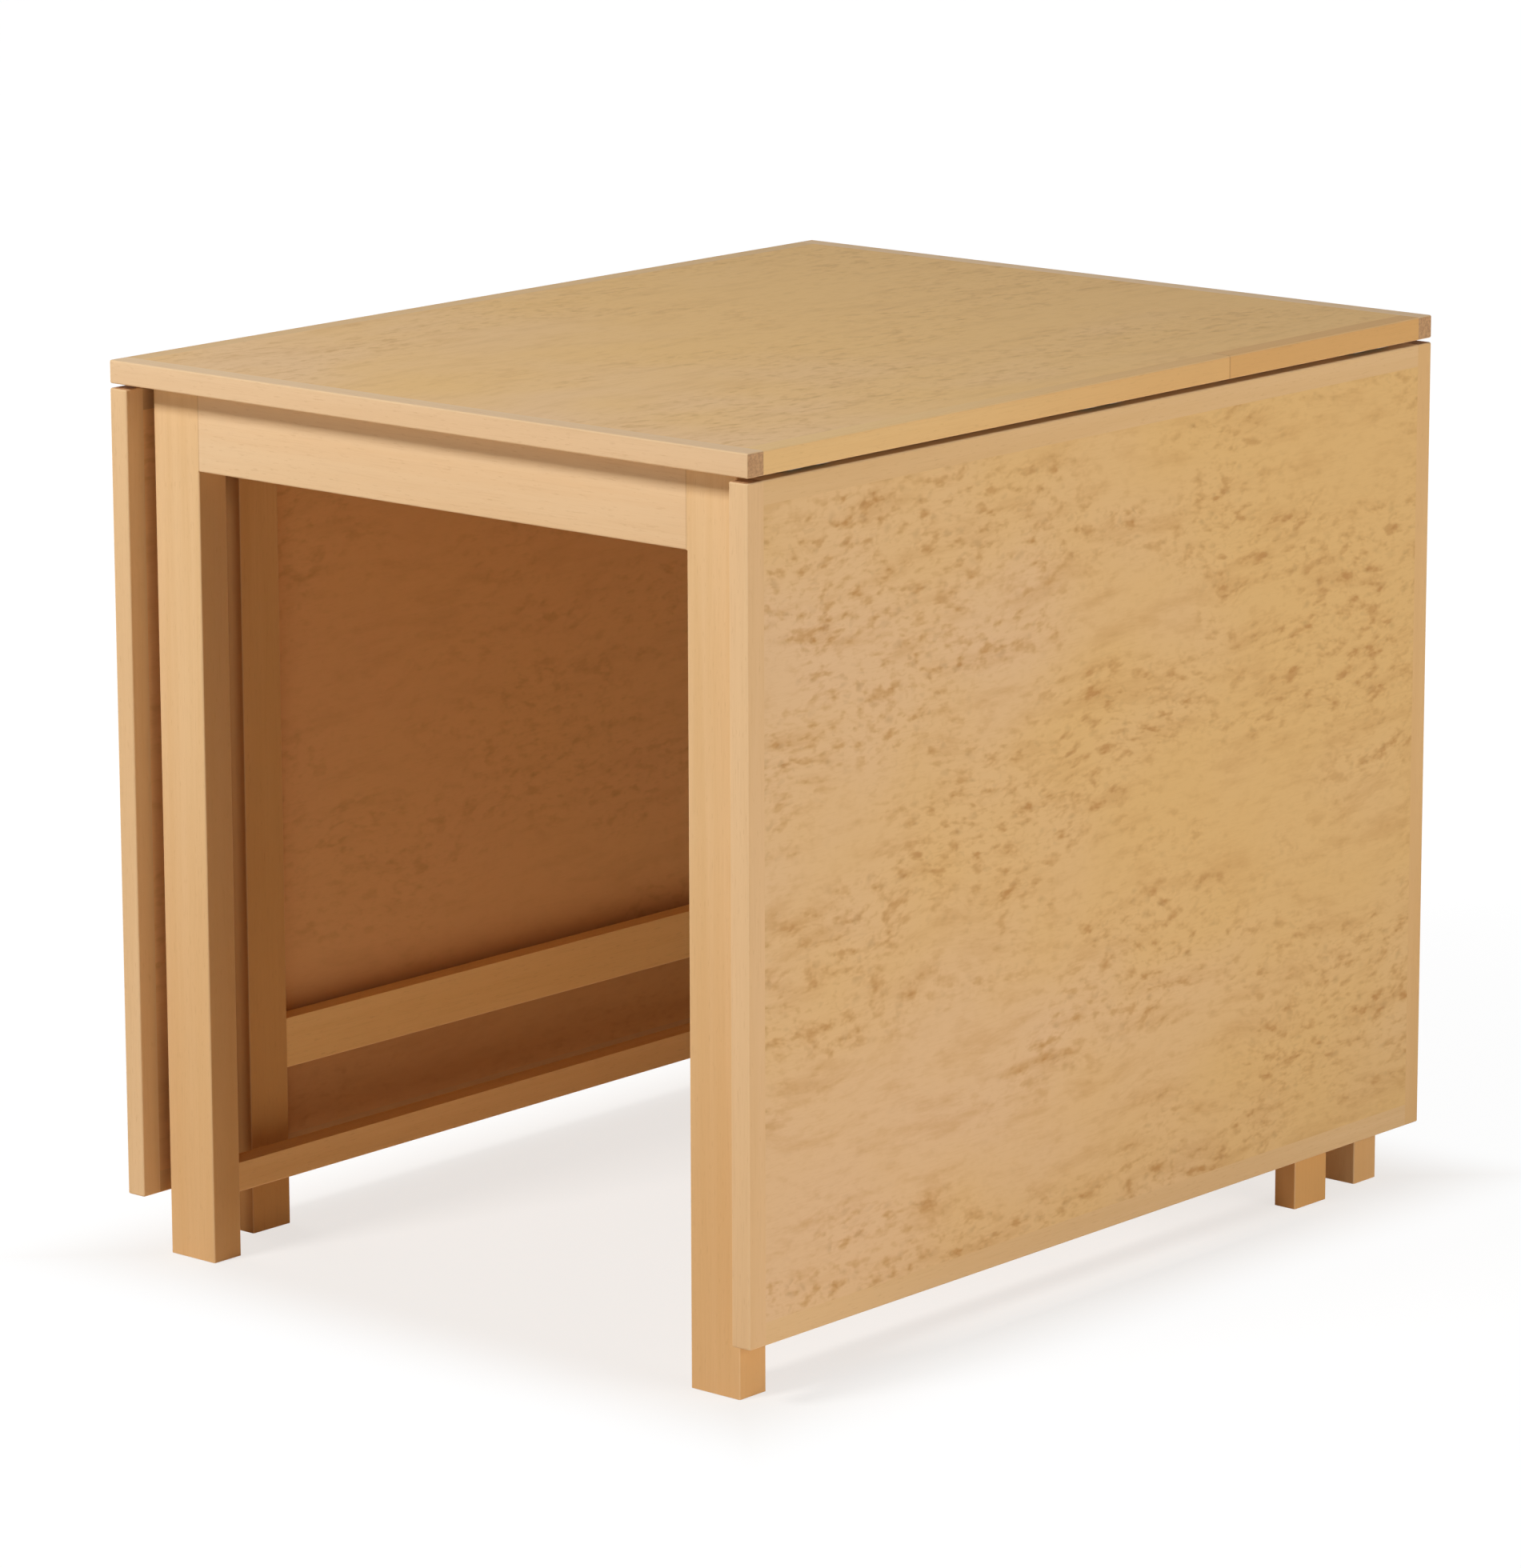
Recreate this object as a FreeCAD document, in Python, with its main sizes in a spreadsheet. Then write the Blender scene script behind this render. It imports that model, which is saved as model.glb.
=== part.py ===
"""Butterfly folding table: a fixed top on a four-legged frame, two hanging leaves, two hinged gates.

Millimetres, origin on the floor under the middle of the table, +X towards the right leaf,
+Y towards the back, +Z up. Pieces of the right side are described in plain coordinates. The left
side is the same set of pieces turned half a turn about Z, so that the gates open opposite ways.
"""

import FreeCAD, Part
import math
import os
import re

DRIVING_SIZES = (
    ("table_height", 720, "floor to the face of the top"),
    ("top_length", 656, "fixed top from leaf to leaf"),
    ("top_width", 840, "fixed top and leaves from front to back"),
    ("top_thickness", 18.5, "fixed top with both veneers"),
    ("leaf_thickness", 18, "leaf with both veneers"),
    ("leaf_floor_gap", 48, "floor to the free edge of a hanging leaf"),
    ("leaf_gap", 3.5, "open joint between the top and a leaf"),
    ("veneer_thickness", 0.8, "face and back veneers"),
    ("lipping_width", 18, "solid strips round each panel"),
    ("edge_round", 1.5, "rounding of outer edges"),
    ("arris_clearance", 0.3, "air between a turning leaf and the lower edge of the top"),
    ("frame_setback", 20, "legs behind the front and back edges of the top"),
    ("leaf_frame_gap", 9.5, "air between a hanging leaf and the legs"),
    ("leg_depth", 30, "leg from front to back"),
    ("apron_height", 64, "aprons under the top"),
    ("apron_thickness", 20, "aprons from front to back"),
    ("rail_inset", 1, "rails and stretchers behind the inner face of the legs"),
    ("rail_thickness", 20, "side rails and stretchers"),
    ("side_rail_height", 60, "side rails under the top"),
    ("stretcher_height", 24, "low stretchers"),
    ("stretcher_level", 52, "floor to the underside of the stretchers"),
    ("tenon_thickness", 8, "all tenons"),
    ("tenon_length", 20, "tenons of aprons and gate rails"),
    ("tenon_shoulder", 6, "shoulder above and below a tenon"),
    ("tenon_spacing", 2, "wood between two tenons in one leg"),
    ("gate_rail_gap", 6.5, "air between a gate and the rails"),
    ("gate_thickness", 21, "posts of a gate"),
    ("gate_leg_width", 42, "free leg of a gate"),
    ("gate_leg_gap", 50, "air between the free leg and the leg beside it"),
    ("gate_lean_gap", 0.9, "air between the free leg and the hanging leaf that it leans towards"),
    ("gate_post_width", 42, "pivot post of a gate"),
    ("gate_post_rise", 30, "lower end of the pivot post above the stretchers"),
    ("gate_post_drop", 6, "upper end of the pivot post below that of the free leg"),
    ("gate_top_gap", 0.5, "air between a free leg and the top"),
    ("gate_rail_thickness", 17, "rails of a gate"),
    ("gate_top_rail_height", 40, "upper rail of a gate"),
    ("gate_top_rail_drop", 14, "upper rail below the upper end of the pivot post"),
    ("gate_low_rail_height", 41, "lower rail of a gate"),
    ("gate_low_rail_rise", 23, "lower rail above the lower end of the pivot post"),
    ("hinge_gap", 8, "air between the pivot post and its leg"),
    ("hinge_height", 60, "gate hinge"),
    ("hinge_width", 15, "leaf of a gate hinge"),
    ("hinge_apron_gap", 6, "upper gate hinge below the apron and side rail"),
    ("hinge_post_gap", 55, "lower gate hinge above the lower end of the pivot post"),
    ("knuckle_air", 0.8, "air between a knuckle and the wood on each side"),
    ("knuckle_end_gap", 0.3, "air between two knuckles"),
    ("hinge_pin_radius", 1.6, "pin of a gate hinge"),
    ("running_clearance", 0.05, "radial clearance of a turning piece on its pin"),
    ("plate_thickness", 1.5, "leaves of the gate hinges, plates of the leaf hinges"),
    ("eye_radius", 3.2, "eye of a leaf hinge's arm"),
    ("arm_pin_radius", 1.8, "pin of a leaf hinge"),
    ("arm_width", 16, "arm of a leaf hinge along the joint"),
    ("arm_thickness", 3, "arm of a leaf hinge"),
    ("arm_length", 45, "arm below the upper edge of the hanging leaf"),
    ("arm_clearance", 0.8, "air between a raised arm and the underside of the top"),
    ("pad_drop", 4, "seat of the arm below the upper edge of the hanging leaf"),
    ("housing_wall", 2.5, "cheeks of a leaf hinge's housing"),
    ("housing_play", 0.4, "air between the arm and its housing"),
    ("flange_length", 12, "screwed ears of the housing"),
    ("button_length", 22, "buttons of the top, away from the rail"),
    ("button_width", 24, "buttons of the top, along the rail"),
    ("button_height", 16, "buttons of the top"),
    ("button_tongue", 8, "tongue of a button in its rail"),
    ("button_tongue_height", 6, "tongue of a button"),
    ("button_apron_offset", 140, "buttons of an apron from the middle of the table"),
    ("button_rail_offset", 200, "buttons of a side rail from the middle of the table"),
    ("screw_radius", 1.6, "shanks of all screws"),
    ("screw_head_radius", 3.1, "countersunk heads of all screws"),
    ("screw_head_depth", 1.5, "countersunk heads of all screws"),
    ("screw_cover", 7, "wood left over the tip of a screw in a panel"),
    ("post_screw_bite", 14, "gate hinge screws in the wood"),
)
SIZE_NAMES = {name for name, value, meaning in DRIVING_SIZES}

# Places that several pieces share, worked out from the driving sizes, on the right side.
TOP_EDGE = "(top_length / 2)"
TOP_END = "(top_width / 2)"
UNDERSIDE = "(table_height - top_thickness)"
LEAF_UPPER = f"({UNDERSIDE} - leaf_gap)"
LEAF_LOWER = "leaf_floor_gap"
LEAF_BACK = f"({TOP_EDGE} - leaf_thickness)"
LEG_OUTER = f"({LEAF_BACK} - leaf_frame_gap)"
GATE_INNER = f"({LEG_OUTER} - gate_thickness)"
GATE_MIDDLE = f"({LEG_OUTER} - gate_thickness / 2)"
RAIL_OUTER = f"({GATE_INNER} - gate_rail_gap)"
RAIL_INNER = f"({RAIL_OUTER} - rail_thickness)"
LEG_INNER = f"({RAIL_INNER} - rail_inset)"
LEG_END = f"({TOP_END} - frame_setback)"
LEG_REAR = f"({LEG_END} - leg_depth)"
APRON_REAR = f"({LEG_END} - apron_thickness)"
RAIL_TENON = "(leg_depth - (apron_thickness + tenon_thickness) / 2 - tenon_spacing)"
STRETCHER_UPPER = "(stretcher_level + stretcher_height)"

# Gate of the right side: pivot post beside the front leg, free leg near the back leg.
GATE_UPPER = f"({UNDERSIDE} - gate_top_gap)"
FREE_LEG_OUTER = f"({LEG_REAR} - gate_leg_gap)"
FREE_LEG_INNER = f"({FREE_LEG_OUTER} - gate_leg_width)"
POST_OUTER = f"(-({LEG_REAR} - hinge_gap))"
POST_INNER = f"({POST_OUTER} + gate_post_width)"
POST_LOWER = f"({STRETCHER_UPPER} + gate_post_rise)"
POST_UPPER = f"({GATE_UPPER} - gate_post_drop)"
GATE_TOP_RAIL = f"({POST_UPPER} - gate_top_rail_drop - gate_top_rail_height)"
GATE_LOW_RAIL = f"({POST_LOWER} + gate_low_rail_rise)"

# Gate hinges: upright axis on the outer face of the leg, in the middle of the hinge gap.
PIVOT_Y = f"(-({LEG_REAR} - hinge_gap / 2))"
GATE_LEAN = f"asin((leaf_frame_gap - gate_lean_gap) / ({FREE_LEG_OUTER} - {PIVOT_Y}))"
KNUCKLE_RADIUS = "(hinge_gap / 2 - knuckle_air)"
KNUCKLE_LENGTH = "(hinge_height / 3)"
PLATE_OUTER = f"({LEG_OUTER} - {KNUCKLE_RADIUS})"
PLATE_INNER = f"({PLATE_OUTER} - hinge_width)"
UPPER_HINGE = f"({UNDERSIDE} - max(apron_height; side_rail_height) - hinge_apron_gap - hinge_height)"
LOWER_HINGE = f"({POST_LOWER} + hinge_post_gap)"

# Leaf hinges: level axis in the middle of the top's thickness and as far inside its edge.
AXIS_X = f"({TOP_EDGE} - top_thickness / 2)"
AXIS_Z = "(table_height - top_thickness / 2)"
LIMB_FACE = f"({AXIS_X} - max(top_thickness; leaf_thickness) + top_thickness / 2 - arm_clearance)"
ARM_BACK = f"({LIMB_FACE} - arm_thickness)"
EYE_UPPER = f"({AXIS_Z} + eye_radius)"
SLOT_HALF = "(arm_width / 2 + housing_play)"
HOUSING_HALF = f"({SLOT_HALF} + housing_wall)"
HOUSING_BACK = f"({AXIS_X} - sqrt(({AXIS_X} - {ARM_BACK})^2 + eye_radius^2) - housing_play)"
HOUSING_FRONT = f"({AXIS_X} + eye_radius + housing_play)"
SLOT_UPPER = f"({EYE_UPPER} + housing_play)"
END_HINGE_Y = f"({LEG_REAR} - gate_leg_gap / 2)"
LEAF_HINGE_PLACES = (f"(-{END_HINGE_Y})", "0", END_HINGE_Y)
ARM_SCREW_COUNT = 3

SIDES = (("right", False), ("left", True))
END_NAMES = {False: ("front", "back"), True: ("back", "front")}
BOX_EDGES = {
    frozenset(("x-", "y-")): 1, frozenset(("x-", "z+")): 2, frozenset(("x-", "y+")): 3,
    frozenset(("x-", "z-")): 4, frozenset(("x+", "y-")): 5, frozenset(("x+", "z+")): 6,
    frozenset(("x+", "y+")): 7, frozenset(("x+", "z-")): 8, frozenset(("y-", "z-")): 9,
    frozenset(("y-", "z+")): 10, frozenset(("y+", "z-")): 11, frozenset(("y+", "z+")): 12,
}
UPRIGHT_EDGES = ("x- y-", "x- y+", "x+ y-", "x+ y+")

doc = FreeCAD.newDocument("FoldingTable")
sheet = doc.addObject("Spreadsheet::Sheet", "Sizes")
for row, (name, value, meaning) in enumerate(DRIVING_SIZES, start=1):
    sheet.set(f"A{row}", meaning)
    sheet.set(f"B{row}", str(value))
    sheet.setAlias(f"B{row}", name)
doc.recompute()
nodes = {}


def size(name):
    """The number in a driving size's cell."""
    return float(sheet.get(name))


def bound(formula):
    """The formula with each driving size read from the sheet."""
    return re.sub(r"[a-z_]+", lambda word: f"Sizes.{word[0]}" if word[0] in SIZE_NAMES else word[0], formula)


def bind(piece, **formulas):
    """Tie sizes of a piece to formulas."""
    for prop, formula in formulas.items():
        piece.setExpression(prop, bound(formula))


def place(piece, point, direction, turned):
    """Put a piece at a point with its own Z along a direction, turned about Z on the left side."""
    way = -1 if turned else 1
    axis = FreeCAD.Vector(way * direction[0], way * direction[1], direction[2])
    piece.Placement.Rotation = FreeCAD.Rotation(FreeCAD.Vector(0, 0, 1), axis)
    x, y, z = point
    for letter, formula in zip("xyz", (f"{way} * ({x})", f"{way} * ({y})", z)):
        piece.setExpression(f"Placement.Base.{letter}", bound(formula))


def box(spans, turned=False):
    """A block between a low and a high formula on each axis."""
    (x_low, x_high), (y_low, y_high), (z_low, z_high) = spans
    if turned:
        x_low, x_high = f"-({x_high})", f"-({x_low})"
        y_low, y_high = f"-({y_high})", f"-({y_low})"
    piece = doc.addObject("Part::Box", "Block")
    bind(piece, Length=f"{x_high} - ({x_low})", Width=f"{y_high} - ({y_low})", Height=f"{z_high} - ({z_low})")
    place(piece, (x_low, y_low, z_low), (0, 0, 1), False)
    return piece


def rod(point, direction, radius, length, turned=False):
    """A round bar from a point along a direction."""
    piece = doc.addObject("Part::Cylinder", "Rod")
    bind(piece, Radius=radius, Height=length)
    place(piece, point, direction, turned)
    return piece


def fuse(pieces):
    """One solid from pieces that touch or overlap."""
    piece = doc.addObject("Part::MultiFuse", "Joined")
    piece.Shapes = pieces
    piece.Refine = True
    return piece


def group(pieces):
    """Separate solids kept together."""
    piece = doc.addObject("Part::Compound", "Group")
    piece.Links = pieces
    return piece


def cut(base, tools):
    """A piece with the shapes of other pieces taken out of it."""
    piece = doc.addObject("Part::Cut", "Worked")
    piece.Base = base
    piece.Tool = tools[0] if len(tools) == 1 else group(tools)
    return piece


def rounded(block, edges, radius, turned=False):
    """A block with edges rounded, each named by the two faces that it lies between."""
    flip = str.maketrans("+-", "-+")
    piece = doc.addObject("Part::Fillet", "Rounded")
    piece.Base = block
    numbers = []
    for edge in edges:
        faces = edge.split()
        if turned:
            faces = [face if face[0] == "z" else face.translate(flip) for face in faces]
        numbers.append(BOX_EDGES[frozenset(faces)])
    piece.Edges = [(number, radius, radius) for number in numbers]
    return piece


def screw(head, direction, length, turned=False):
    """A countersunk screw from the middle of its head along its driving direction."""
    cone = doc.addObject("Part::Cone", "Head")
    bind(cone, Radius1="screw_head_radius", Radius2="screw_radius", Height="screw_head_depth")
    place(cone, head, direction, turned)
    return fuse([cone, rod(head, direction, "screw_radius", length, turned)])


def leaning(piece, turned):
    """A piece of a gate, swung out on the gate's pivot until the free leg is close to the leaf."""
    way = -1 if turned else 1
    swung = group([piece])
    swung.Placement.Rotation = FreeCAD.Rotation(FreeCAD.Vector(0, 0, -1), 1)
    swung.setExpression("Placement.Rotation.Angle", bound(GATE_LEAN))
    sine, versine = f"sin({GATE_LEAN})", f"(1 - cos({GATE_LEAN}))"
    shift = (f"{LEG_OUTER} * {versine} - {PIVOT_Y} * {sine}", f"{PIVOT_Y} * {versine} + {LEG_OUTER} * {sine}")
    for letter, formula in zip("xy", shift):
        swung.setExpression(f"Placement.Base.{letter}", bound(f"{way} * ({formula})"))
    return swung


def node(label, piece):
    """Register a finished sub-part under its own name."""
    piece.Label = label
    nodes[label] = piece
    return piece


def around(middle, half):
    """Low and high formulas at an equal distance from a middle."""
    return f"({middle} - {half})", f"({middle} + {half})"


def panel(spans, run, thick, round_radius, turned=False):
    """Core, veneers and lippings of a panel whose end lippings run through along the run axis.

    The face veneer lies on the high side of the thick axis.
    """
    axes = {"x": 0, "y": 1, "z": 2}

    def part_spans(**changes):
        return tuple(changes.get(letter, spans[axes[letter]]) for letter in "xyz")

    (run_low, run_high), (end_low, end_high), (back, face) = spans[axes[run]], spans[1], spans[axes[thick]]
    inner_run = (f"({run_low} + lipping_width)", f"({run_high} - lipping_width)")
    inner_end = (f"({end_low} + lipping_width)", f"({end_high} - lipping_width)")
    core = (f"({back} + veneer_thickness)", f"({face} - veneer_thickness)")
    pieces = {
        "core": box(part_spans(**{run: inner_run, "y": inner_end, thick: core}), turned),
        "back_veneer": box(part_spans(**{run: inner_run, "y": inner_end, thick: (back, core[0])}), turned),
        "face_veneer": box(part_spans(**{run: inner_run, "y": inner_end, thick: (core[1], face)}), turned),
    }
    run_ends = [f"{run}{a} {thick}{b}" for a in "+-" for b in "+-"]
    strips = (("low", "-", (end_low, inner_end[0])), ("high", "+", (inner_end[1], end_high)))
    for key, mark, strip in strips:
        face_edges = [f"y{mark} {letter}{b}" for letter in (run, thick) for b in "+-"]
        block = box(part_spans(y=strip), turned)
        pieces[f"end_{key}"] = rounded(block, face_edges + run_ends, round_radius, turned)
    strips = (("low", "-", (run_low, inner_run[0])), ("high", "+", (inner_run[1], run_high)))
    for key, mark, strip in strips:
        block = box(part_spans(**{run: strip, "y": inner_end}), turned)
        pieces[f"run_{key}"] = rounded(block, [f"{run}{mark} {thick}{b}" for b in "+-"], round_radius, turned)
    return pieces


def tenoned(spans, long_axis, thin_axis, reach, turned=False):
    """A rail with a tenon of the given reach at each end of its long axis and rounded lower edges."""
    letters = "xyz"
    tenon = dict(zip(letters, spans))
    low, high = tenon[long_axis]
    tenon[long_axis] = (f"({low} - {reach})", f"({high} + {reach})")
    low, high = tenon[thin_axis]
    tenon[thin_axis] = around(f"({low} + {high}) / 2", "tenon_thickness / 2")
    low, high = tenon["z"]
    tenon["z"] = (f"({low} + tenon_shoulder)", f"({high} - tenon_shoulder)")
    lower_edges = [f"{thin_axis}{mark} z-" for mark in "+-"]
    body = rounded(box(spans, turned), lower_edges, size("edge_round"), turned)
    return fuse([body, box([tenon[letter] for letter in letters], turned)])


def post(x, y, z, turned=False):
    """An upright with rounded edges."""
    return rounded(box((x, y, z), turned), UPRIGHT_EDGES, size("edge_round"), turned)


def leaf_hinges(turned):
    """Mortises, housings, pins, arms and screws of the hinges of one leaf."""
    made = {"mortises": [], "housings": [], "pins": [], "arms": [], "housing_screws": [], "arm_screws": []}
    along_x = (HOUSING_BACK, HOUSING_FRONT)
    for middle in LEAF_HINGE_PLACES:
        mortise = (along_x, around(middle, HOUSING_HALF), (UNDERSIDE, f"({SLOT_UPPER} + plate_thickness)"))
        slot = (along_x, around(middle, SLOT_HALF), (UNDERSIDE, SLOT_UPPER))
        pin_start = (AXIS_X, f"{middle} - {HOUSING_HALF}", AXIS_Z)
        pin_length = f"2 * {HOUSING_HALF}"
        pin = rod(pin_start, (0, 1, 0), "arm_pin_radius", pin_length, turned)
        ears = []
        housing_screws = []
        for way in "-+":
            near = f"({middle} {way} {SLOT_HALF})"
            far = f"({middle} {way} ({HOUSING_HALF} + flange_length))"
            ear_y = (near, far) if way == "+" else (far, near)
            ears.append(box((along_x, ear_y, (f"({UNDERSIDE} - plate_thickness)", UNDERSIDE)), turned))
            head_x = f"({HOUSING_BACK} + {HOUSING_FRONT}) / 2"
            head_y = f"{middle} {way} ({HOUSING_HALF} + flange_length / 2)"
            head = (head_x, head_y, f"{UNDERSIDE} - plate_thickness")
            length = "plate_thickness + top_thickness - screw_cover"
            housing_screws.append(screw(head, (0, 0, 1), length, turned))
        channel = cut(box(mortise, turned), [box(slot, turned)])
        made["housings"].append(cut(fuse([channel] + ears), [pin] + housing_screws))

        arm_y = around(middle, "arm_width / 2")
        limb_lower = f"({LEAF_UPPER} - arm_length)"
        pad_upper = f"({LEAF_UPPER} - pad_drop)"
        eye_start = (AXIS_X, arm_y[0], AXIS_Z)
        arm = fuse([
            rod(eye_start, (0, 1, 0), "eye_radius", "arm_width", turned),
            box(((ARM_BACK, AXIS_X), arm_y, (f"({AXIS_Z} - eye_radius)", EYE_UPPER)), turned),
            box(((ARM_BACK, LIMB_FACE), arm_y, (limb_lower, EYE_UPPER)), turned),
            box(((LIMB_FACE, LEAF_BACK), arm_y, (limb_lower, pad_upper)), turned),
        ])
        arm_screws = []
        for number in range(ARM_SCREW_COUNT):
            share = (number + 0.5) / ARM_SCREW_COUNT
            head = (ARM_BACK, middle, f"{pad_upper} - {share} * (arm_length - pad_drop)")
            length = f"{TOP_EDGE} - screw_cover - {ARM_BACK}"
            arm_screws.append(screw(head, (1, 0, 0), length, turned))
        bore = rod(eye_start, (0, 1, 0), "arm_pin_radius + running_clearance", "arm_width", turned)
        made["arms"].append(cut(arm, [bore] + arm_screws))
        made["mortises"].append(box(mortise, turned))
        made["pins"].append(pin)
        made["housing_screws"] += housing_screws
        made["arm_screws"] += arm_screws
    return made


def gate_hinges(turned):
    """Fixed leaves, moving leaves, pins and screws of the hinges of one gate."""
    made = {"fixed": [], "moving": [], "pins": [], "fixed_screws": [], "moving_screws": []}
    for lower in (LOWER_HINGE, UPPER_HINGE):
        upper = f"({lower} + hinge_height)"
        pin = rod((LEG_OUTER, PIVOT_Y, lower), (0, 0, 1), "hinge_pin_radius", "hinge_height", turned)
        outer_knuckles = ((lower, f"({lower} + {KNUCKLE_LENGTH})"), (f"({upper} - {KNUCKLE_LENGTH})", upper))
        middle_knuckle = (
            f"({lower} + {KNUCKLE_LENGTH} + knuckle_end_gap)",
            f"({upper} - {KNUCKLE_LENGTH} - knuckle_end_gap)",
        )
        leg_face = f"(-{LEG_REAR})"
        leaves = (
            ("fixed", (leg_face, f"({leg_face} + plate_thickness)"), outer_knuckles, (0, -1, 0), "0"),
            ("moving", (f"({POST_OUTER} - plate_thickness)", POST_OUTER), (middle_knuckle,), (0, 1, 0),
             "running_clearance"),
        )
        for kind, plate_y, knuckles, driving, clearance in leaves:
            pieces = [box(((PLATE_INNER, PLATE_OUTER), plate_y, (lower, upper)), turned)]
            for low, high in knuckles:
                pieces.append(box(((PLATE_OUTER, LEG_OUTER), plate_y, (low, high)), turned))
                pieces.append(
                    rod((LEG_OUTER, PIVOT_Y, low), (0, 0, 1), KNUCKLE_RADIUS, f"{high} - {low}", turned)
                )
            head_y = plate_y[1] if kind == "fixed" else plate_y[0]
            screws = []
            for low, high in outer_knuckles:
                head = (f"({PLATE_INNER} + {PLATE_OUTER}) / 2", head_y, f"({low} + {high}) / 2")
                screws.append(screw(head, driving, "plate_thickness + post_screw_bite", turned))
            bore_radius = f"hinge_pin_radius + {clearance}"
            bore = rod((LEG_OUTER, PIVOT_Y, lower), (0, 0, 1), bore_radius, "hinge_height", turned)
            made[kind].append(cut(fuse(pieces), [bore] + screws))
            made[f"{kind}_screws"] += screws
        made["pins"].append(pin)
    return made


def gate(side, turned, hinges):
    """Posts and rails of one gate with its hinge leaves."""
    rails = {
        "top_rail": (GATE_TOP_RAIL, f"({GATE_TOP_RAIL} + gate_top_rail_height)"),
        "low_rail": (GATE_LOW_RAIL, f"({GATE_LOW_RAIL} + gate_low_rail_height)"),
    }
    joints = []
    for name, upright in rails.items():
        spans = (around(GATE_MIDDLE, "gate_rail_thickness / 2"), (POST_INNER, FREE_LEG_INNER), upright)
        rail = tenoned(spans, "y", "x", "tenon_length", turned)
        node(f"gate_{side}_{name}", leaning(rail, turned))
        joints.append(rail)
    across = (GATE_INNER, LEG_OUTER)
    free_leg = post(across, (FREE_LEG_INNER, FREE_LEG_OUTER), ("0", GATE_UPPER), turned)
    node(f"gate_{side}_free_leg", leaning(cut(free_leg, joints), turned))
    pivot_post = post(across, (POST_OUTER, POST_INNER), (POST_LOWER, POST_UPPER), turned)
    pivot_post = cut(pivot_post, joints + hinges["moving_screws"])
    node(f"gate_{side}_pivot_post", leaning(pivot_post, turned))
    node(f"gate_{side}_hinge_leaves", leaning(group(hinges["moving"]), turned))
    node(f"gate_{side}_hinge_screws", leaning(group(hinges["moving_screws"]), turned))


def leaf(side, turned, hinges):
    """Panel of one hanging leaf with its hinge arms."""
    spans = ((LEAF_BACK, TOP_EDGE), (f"-{TOP_END}", TOP_END), (LEAF_LOWER, LEAF_UPPER))
    pieces = panel(spans, "z", "x", size("edge_round"), turned)
    screws = hinges["arm_screws"]
    low_end, high_end = END_NAMES[turned]
    node(f"leaf_{side}_core", cut(pieces["core"], screws))
    node(f"leaf_{side}_back_veneer", cut(pieces["back_veneer"], screws))
    node(f"leaf_{side}_face_veneer", pieces["face_veneer"])
    node(f"leaf_{side}_lipping_{low_end}", pieces["end_low"])
    node(f"leaf_{side}_lipping_{high_end}", pieces["end_high"])
    node(f"leaf_{side}_lipping_lower", pieces["run_low"])
    node(f"leaf_{side}_lipping_hinge", cut(pieces["run_high"], screws))
    node(f"leaf_{side}_hinge_arms", group(hinges["arms"]))
    node(f"leaf_{side}_arm_screws", group(screws))


def top(hinges, button_screws):
    """Fixed top with the mortises of its leaf hinges."""
    spans = ((f"-{TOP_EDGE}", TOP_EDGE), (f"-{TOP_END}", TOP_END), (UNDERSIDE, "table_height"))
    half = size("top_thickness") / 2
    leaf_reach = half + size("leaf_gap") - size("arris_clearance")
    needed_round = (math.sqrt(2) * half - leaf_reach) / (math.sqrt(2) - 1)
    pieces = panel(spans, "x", "z", max(size("edge_round"), needed_round))
    tools = {side: made["mortises"] + made["housing_screws"] for side, made in hinges.items()}
    all_tools = tools["right"] + tools["left"] + button_screws
    node("top_core", cut(pieces["core"], all_tools))
    node("top_back_veneer", cut(pieces["back_veneer"], all_tools))
    node("top_face_veneer", pieces["face_veneer"])
    node("top_lipping_front", pieces["end_low"])
    node("top_lipping_back", pieces["end_high"])
    node("top_lipping_left", cut(pieces["run_low"], tools["left"]))
    node("top_lipping_right", cut(pieces["run_high"], tools["right"]))


def buttons():
    """Buttons that hold the top to the aprons and side rails, sorted by the rail that they enter."""
    lower = f"({UNDERSIDE} - button_height)"
    tongue_z = (lower, f"({lower} + button_tongue_height)")
    made = {}
    screws = []

    def button(rail, block_spans, tongue_spans, head, turned):
        driven = screw(head, (0, 0, 1), "button_height + top_thickness - screw_cover", turned)
        body = fuse([box(block_spans, turned), box(tongue_spans, turned)])
        made.setdefault(rail, []).append(cut(body, [driven]))
        screws.append(driven)

    for way in "-+":
        apron_x = around(f"{way} button_apron_offset", "button_width / 2")
        block_y = (f"(-{APRON_REAR})", f"(-{APRON_REAR} + button_length)")
        tongue_y = (f"(-{APRON_REAR} - button_tongue)", f"(-{APRON_REAR})")
        head = (f"{way} button_apron_offset", f"-{APRON_REAR} + button_length / 2", lower)
        for rail, turned in (("apron_front", False), ("apron_back", True)):
            button(rail, (apron_x, block_y, (lower, UNDERSIDE)), (apron_x, tongue_y, tongue_z), head, turned)
        rail_y = around(f"{way} button_rail_offset", "button_width / 2")
        block_x = (f"({RAIL_INNER} - button_length)", RAIL_INNER)
        tongue_x = (RAIL_INNER, f"({RAIL_INNER} + button_tongue)")
        head = (f"{RAIL_INNER} - button_length / 2", f"{way} button_rail_offset", lower)
        for side, turned in SIDES:
            rail = f"side_rail_{side}"
            button(rail, (block_x, rail_y, (lower, UNDERSIDE)), (tongue_x, rail_y, tongue_z), head, turned)
    node("top_buttons", group([piece for pieces in made.values() for piece in pieces]))
    node("top_button_screws", group(screws))
    return made, screws


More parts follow.
